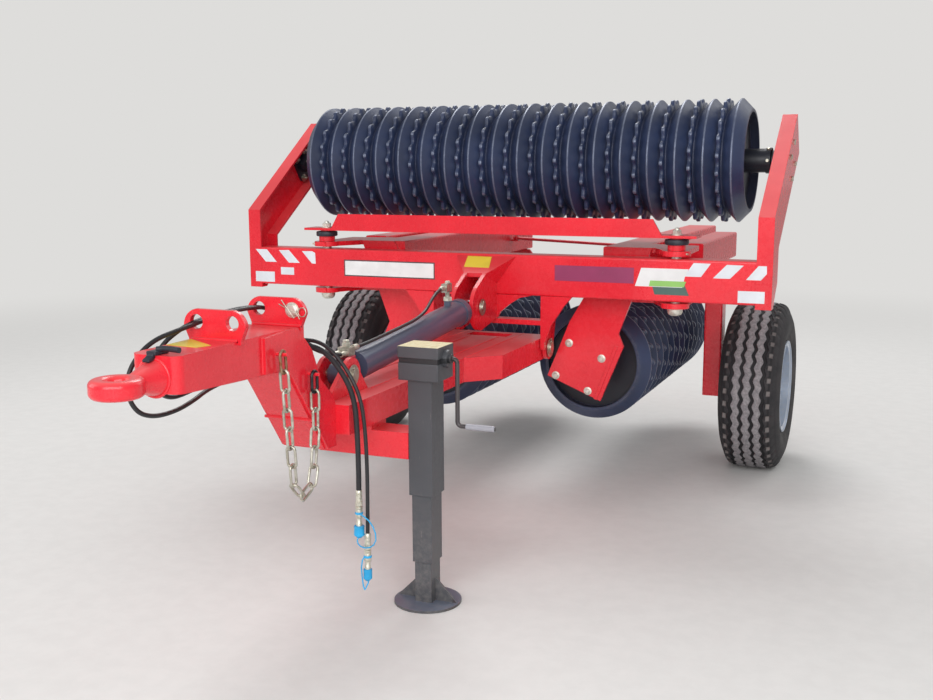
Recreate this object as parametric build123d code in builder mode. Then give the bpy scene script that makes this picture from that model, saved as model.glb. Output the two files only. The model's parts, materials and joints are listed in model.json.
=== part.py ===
from build123d import *
from math import cos, pi, radians, sin, tan
import os

os.makedirs("parts", exist_ok=True)

# Sizes in millimetres. X runs across the machine, +Y to the rear, +Z up from the ground.
# Places along the machine are counted from the front face of the front beam.
beam_front_y = 236.0
sides = (("right", 1), ("left", -1))
fit_gap = 0.05
seat_gap = 0.3

# Front beam
beam_length = 2294.0
beam_depth = 100.0
beam_height = 165.0
beam_bottom_z = 855.0
beam_corner_r = 8.0
beam_top_z = beam_bottom_z + beam_height
beam_rear_y = beam_front_y + beam_depth

# Ring shape that all rollers share
ring_r = 250.0
ring_pitch = 111.0
ring_valley_r = 208.0
ring_half_width = 43.0
ring_tip_half = 2.5
ring_wall = 12.0
ring_web = 14.0
star_tip_r = 243.0
star_root_r = 226.0
star_teeth = 20
star_width = 18.0
star_profile = ((0.0, star_root_r), (0.30, star_root_r), (0.45, star_tip_r), (0.80, star_tip_r))
hub_tube_r = 48.0
journal_r = 22.0
journal_length = 40.0
tube_end_gap = 20.0

# Pivot between drawbar and frame, round which the frame tips
tilt_y = beam_front_y + 70.0
tilt_z = 635.0
tilt_pin_r = 20.0
lug_r = 48.0
lug_plate = 16.0
lug_gap = 3.0
lug_heel = 100.0
lug_heel_up = 95.0
pin_stand_out = 12.0
flare_foot_z = 660.0
flare_reach = 127.0
cross_bar_bottom_z = 735.0
cross_bar_height = 20.0
cross_bar_depth = 60.0

# Middle roller: it comes down to the ground when the frame is tipped by a quarter turn
top_roller_y = tilt_y + tilt_z - ring_r
top_roller_z = 1393.0
top_ring_count = 18
top_first_x = -(top_ring_count - 1) * ring_pitch / 2

# Wing pins, and wing rollers that line up with the middle one once swung out
wing_pin_x = beam_length / 2 - 372.0
wing_pin_y = beam_front_y + beam_depth / 2
wing_pin_r = 20.0
wing_disc_r = 42.0
wing_nut_r = 32.0
wing_nut_height = 30.0
wing_roller_x = wing_pin_x - (top_roller_y - wing_pin_y)
wing_roller_z = 540.0
wing_ring_count = 12
wing_first_ring_y = beam_front_y + 341.0
wing_last_ring_y = wing_first_ring_y + (wing_ring_count - 1) * ring_pitch

# End arms of the frame
arm_width = 60.0
arm_plate = 10.0
arm_depth = 190.0
arm_foot = 15.0
arm_heel = 40.0
arm_knee_z = 1185.0
arm_inner_drop = 120.0
arm_foot_height = 90.0
arm_slope = 35.0
arm_reach = 688.0
arm_outer_x = beam_length / 2
arm_inner_x = arm_outer_x - arm_width

# Flange bearings
bearing_flange = 140.0
bearing_round = 20.0
bearing_plate = 14.0
bearing_boss_r = 45.0
bearing_height = 42.0

# Bar over the beam that holds the wing pins from above
bar_half_length = wing_pin_x + 85.0
bar_plate = 10.0
bar_bottom_z = 1100.0
bar_web_height = 62.0
bar_web_half = wing_pin_x - 85.0
bar_web_slant = 36.0
bar_top_z = bar_bottom_z + bar_plate

# Wing frames
wing_beam_inner_x = wing_pin_x - 325.0
wing_beam_width = 150.0
wing_beam_top_z = 1050.0
wing_beam_bottom_z = 900.0
hinge_plate = 20.0
hinge_boss_r = 55.0
hinge_gap = 8.0
hinge_plate_length = 290.0
hinge_block_width = 90.0
hinge_block_length = 220.0
hanger_plate = 15.0
hanger_width = 250.0
hanger_neck_width = 170.0
hanger_angle = 22.0
hanger_front_gap = 191.0
hanger_rear_gap = 188.0
hanger_front_y = wing_first_ring_y - hanger_front_gap
hanger_rear_y = wing_last_ring_y + hanger_rear_gap
wing_beam_rear_y = hanger_rear_y + 92.0
hanger_below_axis = 92.0
hanger_shoulder = 160.0
hanger_bevel = 40.0
hanger_seat = 185.0
hanger_seat_height = 20.0
side_rail_inner_x = wing_pin_x - 85.0
side_rail_width = 110.0
side_rail_bottom_z = 930.0
side_rail_front_y = beam_front_y + 460.0
side_rail_rear_y = beam_front_y + 1300.0
side_tie = 80.0
side_tie_inset = 60.0
weld_bite = 5.0

# Transport tie between the wings
tie_y = beam_front_y + 1500.0
tie_r = 8.0
tie_left_z = 980.0
tie_right_z = 945.0
tie_eye_r = 16.0
tie_eye_height = 14.0
tie_pin_r = 6.0
tie_stand_off = 26.0
tie_shelf = 8.0

# Wheels
leg_outer_x = wing_pin_x + 45.0
leg_width = 80.0
leg_depth = 100.0
leg_bottom_z = 320.0
wheel_x = leg_outer_x + 168.0
wheel_y = beam_front_y + 900.0
tyre_r = 380.0
tyre_width = 264.0
tyre_side_r = 295.0
tyre_bead_in = 20.0
tyre_shoulder_in = 46.0
rim_r = 194.0
rim_width = 228.0
rim_wall = 10.0
dish_out = 30.0
dish_wall = 10.0
wheel_hub_r = 62.0
wheel_hub_back = 40.0
wheel_hub_front = 44.0
axle_r = 30.0
axle_past_hub = 6.0

# Hitch eye
eye_y = beam_front_y - 2250.0
eye_z = 885.0
eye_bore_r = 25.0
eye_outer_r = 64.0
eye_height = 46.0
eye_round = 15.0
eye_shank_tip_r = 21.0
eye_shank_base_r = 45.0

# Drawbar neck: a level box with its front corners rounded, and a steep box between side plates
neck_half_width = 70.0
neck_corner_r = 28.0
neck_front_y = beam_front_y - 2120.0
neck_top_z = 940.0
neck_nose_z = 848.0
neck_throat = (beam_front_y - 1655.0, 826.0)
neck_foot = (beam_front_y - 1455.0, 555.0)
neck_side_plate = 10.0
neck_side_front_y = beam_front_y - 1763.0
neck_side_inset = 8.0
ear_places = ((beam_front_y - 1865.0, 930.0), (beam_front_y - 1575.0, 880.0))
ear_plate = 15.0
ear_root_half = 80.0
ear_wide_half = 95.0
ear_wide_z = 975.0
ear_top_half = 60.0
ear_top_z = 1018.0
ear_hole_x = 55.0
ear_hole_z = 985.0
ear_hole_r = 19.5

# Drawbar deck: a box in the middle that side boxes widen to the pivot
deck_top_z = 680.0
deck_height = 90.0
deck_front_y = beam_front_y - 1400.0
deck_front_half = 125.0
deck_half_width = 235.0
deck_flare_y = beam_front_y - 530.0
deck_knee_y = beam_front_y - 420.0
deck_window_half = 90.0
deck_window_front_y = beam_front_y
deck_window_rear_y = beam_front_y + 80.0
deck_slot_half = 35.0
deck_slot_depth = 30.0

# Jack
jack_x = 262.0
jack_y = beam_front_y - 1154.0
jack_tube_x = 80.0
jack_tube_y = 90.0
jack_tube_bottom_z = 360.0
jack_top_z = 835.0
jack_head_x = 130.0
jack_head_y = 112.0
jack_head_height = 105.0
jack_lid = 10.0
jack_lid_edge = 3.0
jack_wall = 6.0
jack_slide_gap = 0.5
jack_leg_length = 540.0
jack_step_z = 140.0
jack_step = 10.0
jack_foot_r = 108.0
jack_foot_plate = 8.0
jack_gusset_height = 52.0
jack_gusset_plate = 8.0
jack_gear_r = 28.0
jack_gear_length = 18.0
jack_gear_z = 795.0
crank_r = 7.0
crank_bend_r = 14.0
crank_out = 42.0
crank_drop_z = 586.0
crank_grip = 125.0
bracket_reach = 95.0
bracket_depth = 100.0
bracket_height = 84.0
bracket_top_z = 560.0
bracket_post = 50.0

# Tipping cylinder
base_pin_y = beam_front_y - 1240.0
base_pin_z = 738.0
rod_pin_y = beam_front_y - 170.0
rod_pin_z = 822.0
cylinder_pin_r = 15.0
pin_head_r = 25.0
pin_head = 8.0
barrel_r = 49.0
barrel_back = 105.0
barrel_front_gap = 108.0
gland_r = 53.0
gland_length = 36.0
rod_r = 25.0
rod_eye_r = 32.0
rod_eye_width = 40.0
rod_eye_play = 2.0
eye_block_height = 60.0
base_eye_r = 34.0
base_lug_gap = 72.0
base_lug_plate = 14.0
base_lug_r = 55.0
base_lug_front = 160.0
base_lug_rear = 100.0
rod_lug_gap = 66.0
rod_lug_plate = 16.0
rod_lug_r = 93.0
rod_flare_foot_z = 757.0
rod_flare_reach = 151.0
hood_half = 130.0
hood_nose_half = 50.0
hood_reach = 120.0
hood_height = 110.0
front_port = 40.0
front_port_back = 55.0
front_port_height = 78.0
rear_port_r = 14.0
rear_port_back = 848.0
rear_port_top_z = 876.0
rear_pipe_r = 9.0
elbow_width = 24.0
elbow_height = 34.0
elbow_front_y = beam_front_y - 425.0
elbow_length = 48.0
elbow_z = 922.0

# Safety chain on the neck's right side plate
chain_x = 99.0
chain_wire = 8.0
chain_link_width = 34.0
chain_stud_r = 5.0
chain_places = ((-1711.0, 888.0), (-1692.0, 690.0), (-1672.0, 505.0), (-1622.0, 452.0), (-1572.0, 500.0),
                (-1548.0, 660.0), (-1549.0, 805.0))
chain_bend_r = 40.0
chain_link_count = 15

# Hoses: the table holds X, place along the machine from the beam's front face, and Z
hose_r = 6.0
hose_tables = {
    "hose_right": (
        (12, -1205.9, 798), (12, -1250, 798), (-20, -1325, 826), (-54, -1405, 885), (-54, -1475, 948),
        (-47, -1545, 986), (-47, -1700, 996), (-47, -1850, 986), (-52, -1940, 975), (-88, -2035, 955),
        (-112, -2105, 900), (-106, -2132, 845), (-90, -2112, 790), (-70, -2060, 767), (-54, -1980, 769),
        (-60, -1890, 780), (-88, -1800, 786), (-108, -1700, 788), (-110, -1590, 796), (-108, -1490, 818),
        (-72, -1412, 842), (-8, -1390, 853), (48, -1390, 833), (104, -1390, 772), (139, -1390, 700),
        (146, -1390, 600), (148, -1390, 490), (147, -1390, 389)),
    "hose_left": (
        (-12, -1205.9, 798), (-12, -1250, 798), (-42, -1318, 826), (-76, -1400, 885), (-72, -1473, 948),
        (-63, -1543, 986), (-63, -1700, 996), (-63, -1850, 986), (-72, -1915, 972), (-98, -1965, 935),
        (-108, -1990, 880), (-110, -1980, 820), (-110, -1925, 785), (-110, -1835, 790), (-112, -1710, 808),
        (-112, -1590, 816), (-112, -1485, 838), (-76, -1412, 862), (-3, -1390, 871), (57, -1390, 850),
        (117, -1390, 786), (160, -1390, 706), (173, -1390, 606), (177, -1390, 490), (176, -1390, 372),
        (174, -1390, 256)),
}
barrel_hose_table = ((0, -425, 922), (0, -467, 922), (8, -545, 900), (18, -625, 862), (22, -715, 843),
                     (22, -830, 833), (22, -960, 824), (21, -1060, 816), (12, -1120, 810), (12, -1165, 810))
coupling_r = 10.0
coupling_length = 80.0
cap_r = 12.0
cap_length = 38.0


def outline(plane, points):
    """Closed outline of straight lines on a plane."""
    with BuildSketch(plane) as sketch:
        with BuildLine():
            Polyline(*points, close=True)
        make_face()
    return sketch.sketch


def save(piece, node):
    """Label a finished piece and write it out."""
    piece.part.label = node
    export_step(piece.part, f"parts/{node}.step")


def bend_radii(places):
    """Radius of each bend of a cord: it takes under half of the shorter run beside it."""
    runs = [after - before for before, after in zip(places, places[1:])]
    return [0.45 * min(first.length, second.length) / tan(radians(first.get_angle(second)) / 2)
            for first, second in zip(runs, runs[1:])]


def save_cord(node, table):
    """Plain tube along a cord's table of places, with its bends and volume printed."""
    places = [Vector(x, beam_front_y + along, z) for x, along, z in table]
    radii = bend_radii(places)
    with BuildPart() as tube:
        with BuildLine() as route:
            FilletPolyline(*places, radius=radii)
        centre = route.wire()
        with BuildSketch(Plane(origin=centre @ 0, z_dir=centre % 0)):
            Circle(hose_r)
        sweep()
    share = tube.part.volume / (pi * hose_r ** 2 * centre.length)
    print(f"{node}: length {centre.length:.0f} mm, tightest bend {min(radii):.0f} mm, volume share {share:.4f}")
    save(tube, node)


# Rollers: a table of name, first ring place, axis direction and number of rings
rollers = (
    ("top", Vector(top_first_x, top_roller_y, top_roller_z), Vector(1, 0, 0), top_ring_count),
    ("right", Vector(wing_roller_x, wing_first_ring_y, wing_roller_z), Vector(0, 1, 0), wing_ring_count),
    ("left", Vector(-wing_roller_x, wing_first_ring_y, wing_roller_z), Vector(0, 1, 0), wing_ring_count),
)
wing_tube_reach = hanger_front_gap - hanger_plate - hanger_seat_height - weld_bite
shaft_reach = {"top": arm_inner_x - tube_end_gap + top_first_x, "right": wing_tube_reach, "left": wing_tube_reach}

# One toothed ring, seen along its axis
star_points = []
for tooth in range(star_teeth):
    for share, radius in star_profile:
        angle = 360 / star_teeth * (tooth + share)
        star_points.append((radius * cos(radians(angle)), radius * sin(radians(angle))))
with BuildPart() as star:
    with BuildSketch():
        with BuildLine():
            Polyline(*star_points, close=True)
        make_face()
        Circle(ring_valley_r + fit_gap, mode=Mode.SUBTRACT)
    extrude(amount=star_width / 2, both=True)

for name, start, along, count in rollers:
    side_plane = Plane(origin=start, x_dir=along, z_dir=Vector(0, 0, 1).cross(along) * -1)
    axis = Axis(start, along)
    last = (count - 1) * ring_pitch
    bore = hub_tube_r + fit_gap
    rim_bore = ring_valley_r - ring_wall

    # Smooth rings, stacked into one drum with a web in each end ring
    with BuildPart() as rings:
        crest = []
        for index in range(count):
            middle = index * ring_pitch
            crest += [(middle - ring_half_width, ring_valley_r), (middle - ring_tip_half, ring_r),
                      (middle + ring_tip_half, ring_r), (middle + ring_half_width, ring_valley_r)]
        hollow = []
        for middle, turn in ((last, 1), (0, -1)):
            rim, outer, inner = (middle + turn * share for share in (ring_half_width, ring_web / 2, -ring_web / 2))
            steps = [(rim, rim_bore), (outer, rim_bore), (outer, bore), (inner, bore), (inner, rim_bore)]
            hollow += steps if turn > 0 else steps[::-1]
        with BuildSketch(side_plane):
            with BuildLine():
                Polyline(*crest, *hollow, close=True)
            make_face()
        revolve(axis=axis)
    save(rings, f"rings_{name}")

    # Toothed rings in the valleys between the smooth ones
    places = [start + along * ((index + 0.5) * ring_pitch) for index in range(count - 1)]
    with BuildPart() as stars:
        with Locations(*[Plane(origin=place, z_dir=along) for place in places]):
            add(star.part)
    save(stars, f"stars_{name}")

    # Tube shaft with a journal at each end
    reach = shaft_reach[name]
    with BuildPart() as shaft:
        with BuildSketch(Plane(origin=start - along * reach, z_dir=along)):
            Circle(hub_tube_r)
        extrude(amount=last + 2 * reach)
        with BuildSketch(Plane(origin=start - along * (reach + journal_length), z_dir=along)):
            Circle(journal_r)
        extrude(amount=last + 2 * (reach + journal_length))
    save(shaft, f"shaft_{name}")

# Front beam
with BuildPart() as front_beam:
    with BuildSketch(Plane.YZ.offset(-arm_inner_x)):
        with Locations((beam_front_y + beam_depth / 2, beam_bottom_z + beam_height / 2)):
            RectangleRounded(beam_depth, beam_height, beam_corner_r)
    extrude(amount=2 * arm_inner_x)
    with Locations(*[(sign * wing_pin_x, wing_pin_y, beam_bottom_z + beam_height / 2) for _, sign in sides]):
        Cylinder(wing_pin_r + fit_gap, 2 * beam_height, mode=Mode.SUBTRACT)
save(front_beam, "front_beam")

# End arms: channels open to the inside that lean back to the middle roller
lean = Vector(cos(radians(arm_slope)), sin(radians(arm_slope)))
knee = Vector(beam_front_y, arm_knee_z)
tip = knee + lean * arm_reach
square = Vector(lean.Y, -lean.X) * arm_depth
arm_foot_z = beam_bottom_z - arm_foot
arm_points = [(beam_front_y, arm_foot_z), (knee.X, knee.Y), (tip.X, tip.Y), ((tip + square).X, (tip + square).Y),
              (beam_rear_y + arm_heel, arm_knee_z - arm_inner_drop),
              (beam_rear_y + arm_heel, arm_foot_z + arm_foot_height), (beam_front_y + arm_heel, arm_foot_z)]
for side, sign in sides:
    with BuildPart() as arm:
        extrude(outline(Plane.YZ.offset(sign * arm_outer_x), arm_points), amount=-sign * arm_width)
        with BuildSketch(Plane.YZ.offset(sign * arm_inner_x)):
            with BuildLine():
                Polyline(*arm_points, close=True)
            make_face()
            offset(amount=-arm_plate, kind=Kind.INTERSECTION)
        extrude(amount=sign * (arm_width - arm_plate), mode=Mode.SUBTRACT)
    save(arm, f"arm_{side}")

# Flange bearings of the middle roller, bolted to the arms' plates from inside
with BuildPart() as top_bearings:
    for _, sign in sides:
        with BuildSketch(Plane.YZ.offset(sign * (arm_outer_x - arm_plate))):
            with Locations(Location((top_roller_y, top_roller_z, 0), (0, 0, arm_slope))):
                RectangleRounded(bearing_flange, bearing_flange, bearing_round)
                Circle(journal_r + fit_gap, mode=Mode.SUBTRACT)
        extrude(amount=-sign * bearing_plate)
        with BuildSketch(Plane.YZ.offset(sign * (arm_outer_x - arm_plate - bearing_plate))):
            with Locations((top_roller_y, top_roller_z)):
                Circle(bearing_boss_r)
                Circle(journal_r + fit_gap, mode=Mode.SUBTRACT)
        extrude(amount=-sign * (bearing_height - bearing_plate))
save(top_bearings, "top_bearings")

# Bar over the beam
with BuildPart() as upper_bar:
    with BuildSketch(Plane.XY.offset(bar_bottom_z)):
        with Locations((0, wing_pin_y)):
            Rectangle(2 * bar_half_length, beam_depth)
        with Locations(*[(sign * wing_pin_x, wing_pin_y) for _, sign in sides]):
            Circle(wing_pin_r + fit_gap, mode=Mode.SUBTRACT)
    extrude(amount=bar_plate)
    extrude(outline(Plane.XZ.offset(-beam_front_y), [
        (-bar_web_half - bar_web_slant, bar_top_z), (-bar_web_half, bar_top_z + bar_web_height),
        (bar_web_half, bar_top_z + bar_web_height), (bar_web_half + bar_web_slant, bar_top_z)]), amount=-bar_plate)
save(upper_bar, "upper_bar")

# Wing pins, each with a disc under the bar and a nut at either end
lower_plate_top_z = beam_bottom_z - hinge_gap
lower_plate_bottom_z = lower_plate_top_z - hinge_plate
nut_gap = 1.0
pin_bottom_z = lower_plate_bottom_z - nut_gap - wing_nut_height
for side, sign in sides:
    with BuildPart() as pin:
        for bottom_z, top_z, radius in (
                (pin_bottom_z, bar_top_z + wing_nut_height, wing_pin_r),
                (pin_bottom_z, lower_plate_bottom_z - nut_gap, wing_nut_r),
                (wing_beam_top_z + nut_gap, bar_bottom_z, wing_disc_r),
                (bar_top_z, bar_top_z + wing_nut_height, wing_nut_r)):
            with BuildSketch(Plane.XY.offset(bottom_z)):
                with Locations((sign * wing_pin_x, wing_pin_y)):
                    Circle(radius)
            extrude(amount=top_z - bottom_z)
    save(pin, f"wing_pin_{side}")

# Lugs on the beam for the drawbar pivot, with flared front plates and a bar across
lug_x = deck_half_width + lug_gap
lug_points = [(beam_front_y, beam_bottom_z), (beam_front_y, tilt_z), (tilt_y + lug_r, tilt_z),
              (beam_rear_y + lug_heel / 2, beam_bottom_z - 1.15 * lug_heel), (beam_rear_y + lug_heel, beam_bottom_z),
              (beam_rear_y + lug_heel, beam_bottom_z + lug_heel_up), (beam_rear_y, beam_bottom_z + lug_heel_up),
              (beam_rear_y, beam_bottom_z)]
flare_height = beam_bottom_z - flare_foot_z
with BuildPart() as pivot_lugs:
    for _, sign in sides:
        with BuildSketch(Plane.YZ.offset(sign * lug_x)):
            with BuildLine():
                Polyline(*lug_points, close=True)
            make_face()
            with Locations((tilt_y, tilt_z)):
                Circle(lug_r)
        extrude(amount=sign * lug_plate)
        flare = [(lug_x, flare_foot_z), (lug_x + lug_plate, flare_foot_z),
                 (lug_x + lug_plate + 0.2 * flare_reach, flare_foot_z + 0.36 * flare_height),
                 (lug_x + lug_plate + 0.6 * flare_reach, flare_foot_z + 0.77 * flare_height),
                 (lug_x + lug_plate + 0.9 * flare_reach, beam_bottom_z), (lug_x, beam_bottom_z)]
        extrude(outline(Plane.XZ.offset(-beam_front_y), [(sign * x, z) for x, z in flare]), amount=-lug_plate)
    with BuildSketch(Plane.YZ.offset(-lug_x)):
        with Locations((beam_front_y + cross_bar_depth / 2, cross_bar_bottom_z + cross_bar_height / 2)):
            Rectangle(cross_bar_depth, cross_bar_height)
    extrude(amount=2 * lug_x)
    with Locations((0, tilt_y, tilt_z)):
        Cylinder(tilt_pin_r + fit_gap, 3 * lug_x, rotation=(0, 90, 0), mode=Mode.SUBTRACT)
save(pivot_lugs, "pivot_lugs")

# Lugs on the beam for the cylinder, with flared plates below the beam and a sloping hood over them
hood_top_z = beam_top_z - beam_corner_r
lug_front_y = rod_pin_y - rod_lug_r / 2
rod_lug_out = rod_lug_gap / 2 + rod_lug_plate
rod_flare_height = beam_bottom_z - rod_flare_foot_z
with BuildPart() as cylinder_lugs:
    for _, sign in sides:
        with BuildSketch(Plane.YZ.offset(sign * rod_lug_gap / 2)):
            with BuildLine():
                Polyline((beam_front_y, hood_top_z), (lug_front_y, rod_pin_z + 0.87 * rod_lug_r),
                         (rod_pin_y, rod_pin_z - rod_lug_r), (beam_front_y, rod_flare_foot_z), close=True)
            make_face()
            with Locations((rod_pin_y, rod_pin_z)):
                Circle(rod_lug_r)
        extrude(amount=sign * rod_lug_plate)
        with BuildSketch(Plane.YZ.offset(sign * rod_lug_gap / 2)):
            with Locations((beam_front_y + lug_plate / 2, (rod_flare_foot_z + beam_bottom_z) / 2)):
                Rectangle(lug_plate, rod_flare_height)
        extrude(amount=sign * rod_lug_plate)
        flare = [(rod_lug_out, rod_flare_foot_z), (rod_lug_out + 0.09 * rod_flare_reach, rod_flare_foot_z + 25),
                 (rod_lug_out + 0.37 * rod_flare_reach, rod_flare_foot_z + 0.61 * rod_flare_height),
                 (rod_lug_out + 0.66 * rod_flare_reach, rod_flare_foot_z + 0.89 * rod_flare_height),
                 (rod_lug_out + rod_flare_reach, beam_bottom_z), (rod_lug_out, beam_bottom_z)]
        extrude(outline(Plane.XZ.offset(-beam_front_y), [(sign * x, z) for x, z in flare]), amount=-lug_plate)
    hood_slope = (hood_top_z - rod_pin_z - 0.87 * rod_lug_r) / (beam_front_y - lug_front_y)
    hood_nose_z = hood_top_z - hood_slope * hood_reach
    with BuildSketch(Plane.XZ.offset(-beam_front_y)):
        with BuildLine():
            Polyline((-hood_half, hood_top_z), (hood_half, hood_top_z), (hood_nose_half, hood_top_z - hood_height),
                     (-hood_nose_half, hood_top_z - hood_height), close=True)
        make_face()
    with BuildSketch(Plane.XZ.offset(-beam_front_y + hood_reach)):
        with BuildLine():
            Polyline((-hood_nose_half, hood_nose_z), (hood_nose_half, hood_nose_z),
                     (hood_nose_half - weld_bite, hood_nose_z - lug_plate),
                     (-hood_nose_half + weld_bite, hood_nose_z - lug_plate), close=True)
        make_face()
    loft()
    with Locations((0, rod_pin_y, rod_pin_z)):
        Cylinder(cylinder_pin_r + fit_gap, 4 * rod_lug_gap, rotation=(0, 90, 0), mode=Mode.SUBTRACT)
save(cylinder_lugs, "cylinder_lugs")

# Ends of the rod's pin, one in each lug
with BuildPart() as rod_pin:
    for _, sign in sides:
        with BuildSketch(Plane.YZ.offset(sign * rod_lug_gap / 2)):
            with Locations((rod_pin_y, rod_pin_z)):
                Circle(cylinder_pin_r)
        extrude(amount=sign * (rod_lug_plate + pin_stand_out))
        with BuildSketch(Plane.YZ.offset(sign * (rod_lug_out + seat_gap))):
            with Locations((rod_pin_y, rod_pin_z)):
                Circle(pin_head_r)
        extrude(amount=sign * pin_head)
save(rod_pin, "rod_pin")

# Hitch eye with a straight bore wall, on a shank that widens to the neck
with BuildPart() as hitch_eye:
    with BuildSketch(Plane.XZ.offset(-eye_y)):
        with Locations(((eye_bore_r + eye_outer_r) / 2, eye_z)):
            RectangleRounded(eye_outer_r - eye_bore_r, eye_height, eye_round)
    revolve(axis=Axis((0, eye_y, 0), (0, 0, 1)))
    shank_y = eye_y + eye_outer_r - eye_round
    extrude_shank = [(shank_y, eye_z), (shank_y, eye_z + eye_shank_tip_r), (neck_front_y, eye_z + eye_shank_base_r),
                     (neck_front_y, eye_z)]
    with BuildSketch(Plane.YZ):
        with BuildLine():
            Polyline(*extrude_shank, close=True)
        make_face()
    revolve(axis=Axis((0, 0, eye_z), (0, 1, 0)))
save(hitch_eye, "hitch_eye")

# Drawbar neck
neck_rear = [(beam_front_y - 1600, neck_top_z), (beam_front_y - 1525, 865), (beam_front_y - 1480, 770),
             (beam_front_y - 1410, deck_top_z + 28), (deck_front_y, deck_top_z), (deck_front_y, neck_foot[1])]
neck_points = [(neck_front_y, neck_top_z), *neck_rear, neck_foot, neck_throat, (neck_front_y, neck_nose_z)]
side_points = [(neck_side_front_y, neck_top_z - neck_side_inset), *neck_rear,
               (neck_foot[0] + neck_side_inset, neck_foot[1]), (neck_throat[0] + neck_side_inset, neck_throat[1]),
               (neck_side_front_y, neck_throat[1] + neck_side_inset)]
with BuildPart() as drawbar_neck:
    extrude(outline(Plane.YZ.offset(-neck_half_width), neck_points), amount=2 * neck_half_width)
    fillet(drawbar_neck.edges().filter_by(Axis.Z).group_by(Axis.Y)[0], neck_corner_r)
    for _, sign in sides:
        extrude(outline(Plane.YZ.offset(sign * neck_half_width), side_points), amount=sign * neck_side_plate)
    for ear_y, root_z in ear_places:
        ear_points = [(ear_root_half, root_z), (ear_root_half, neck_top_z), (ear_wide_half, ear_wide_z),
                      (ear_top_half, ear_top_z)]
        with BuildSketch(Plane.XZ.offset(-ear_y + ear_plate / 2)):
            with BuildLine():
                Polyline(*ear_points, *[(-x, z) for x, z in ear_points[::-1]], close=True)
            make_face()
            with Locations((ear_hole_x, ear_hole_z), (-ear_hole_x, ear_hole_z)):
                Circle(ear_hole_r, mode=Mode.SUBTRACT)
        extrude(amount=-ear_plate)
    stud_drop = chain_stud_r + seat_gap
    for along, z in (chain_places[0], chain_places[-1]):
        with BuildSketch(Plane.YZ.offset(neck_half_width)):
            with Locations((beam_front_y + along, z - stud_drop)):
                Circle(chain_stud_r)
        extrude(amount=chain_x + 2 * chain_wire - neck_half_width)
save(drawbar_neck, "drawbar_neck")

# Drawbar deck
deck_end_y = tilt_y + lug_r
deck_half = [(deck_front_half, deck_front_y), (deck_front_half, deck_flare_y), (deck_half_width, deck_knee_y),
             (deck_half_width, deck_end_y)]
deck_bottom_z = deck_top_z - deck_height
with BuildPart() as drawbar_deck:
    extrude(outline(Plane.XY.offset(deck_bottom_z), deck_half + [(-x, y) for x, y in deck_half[::-1]]),
            amount=deck_height)
    with BuildSketch(Plane.XY.offset(deck_bottom_z)):
        with Locations((0, (deck_window_front_y + deck_window_rear_y) / 2)):
            Rectangle(2 * deck_window_half, deck_window_rear_y - deck_window_front_y)
    extrude(amount=deck_height, mode=Mode.SUBTRACT)
    with BuildSketch(Plane.XY.offset(deck_bottom_z)):
        with Locations((0, (deck_front_y + deck_window_front_y) / 2)):
            Rectangle(2 * deck_slot_half, deck_window_front_y - deck_front_y)
    extrude(amount=deck_height - deck_slot_depth, mode=Mode.SUBTRACT)
    with Locations((0, tilt_y, tilt_z)):
        Cylinder(tilt_pin_r + fit_gap, 4 * deck_half_width, rotation=(0, 90, 0), mode=Mode.SUBTRACT)
save(drawbar_deck, "drawbar_deck")

# Wing frames: a long beam with hinge plates over and under the front beam, and a side rail
hanger_up = Vector(sin(radians(hanger_angle)), cos(radians(hanger_angle)))
hanger_out = Vector(hanger_up.Y, -hanger_up.X)


def hanger_point(out, up):
    """Place in the cross plane of a wing, counted from the roller's axis along its hanger plate."""
    place = Vector(wing_roller_x, wing_roller_z) + hanger_out * out + hanger_up * up
    return place.X, place.Y


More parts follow.
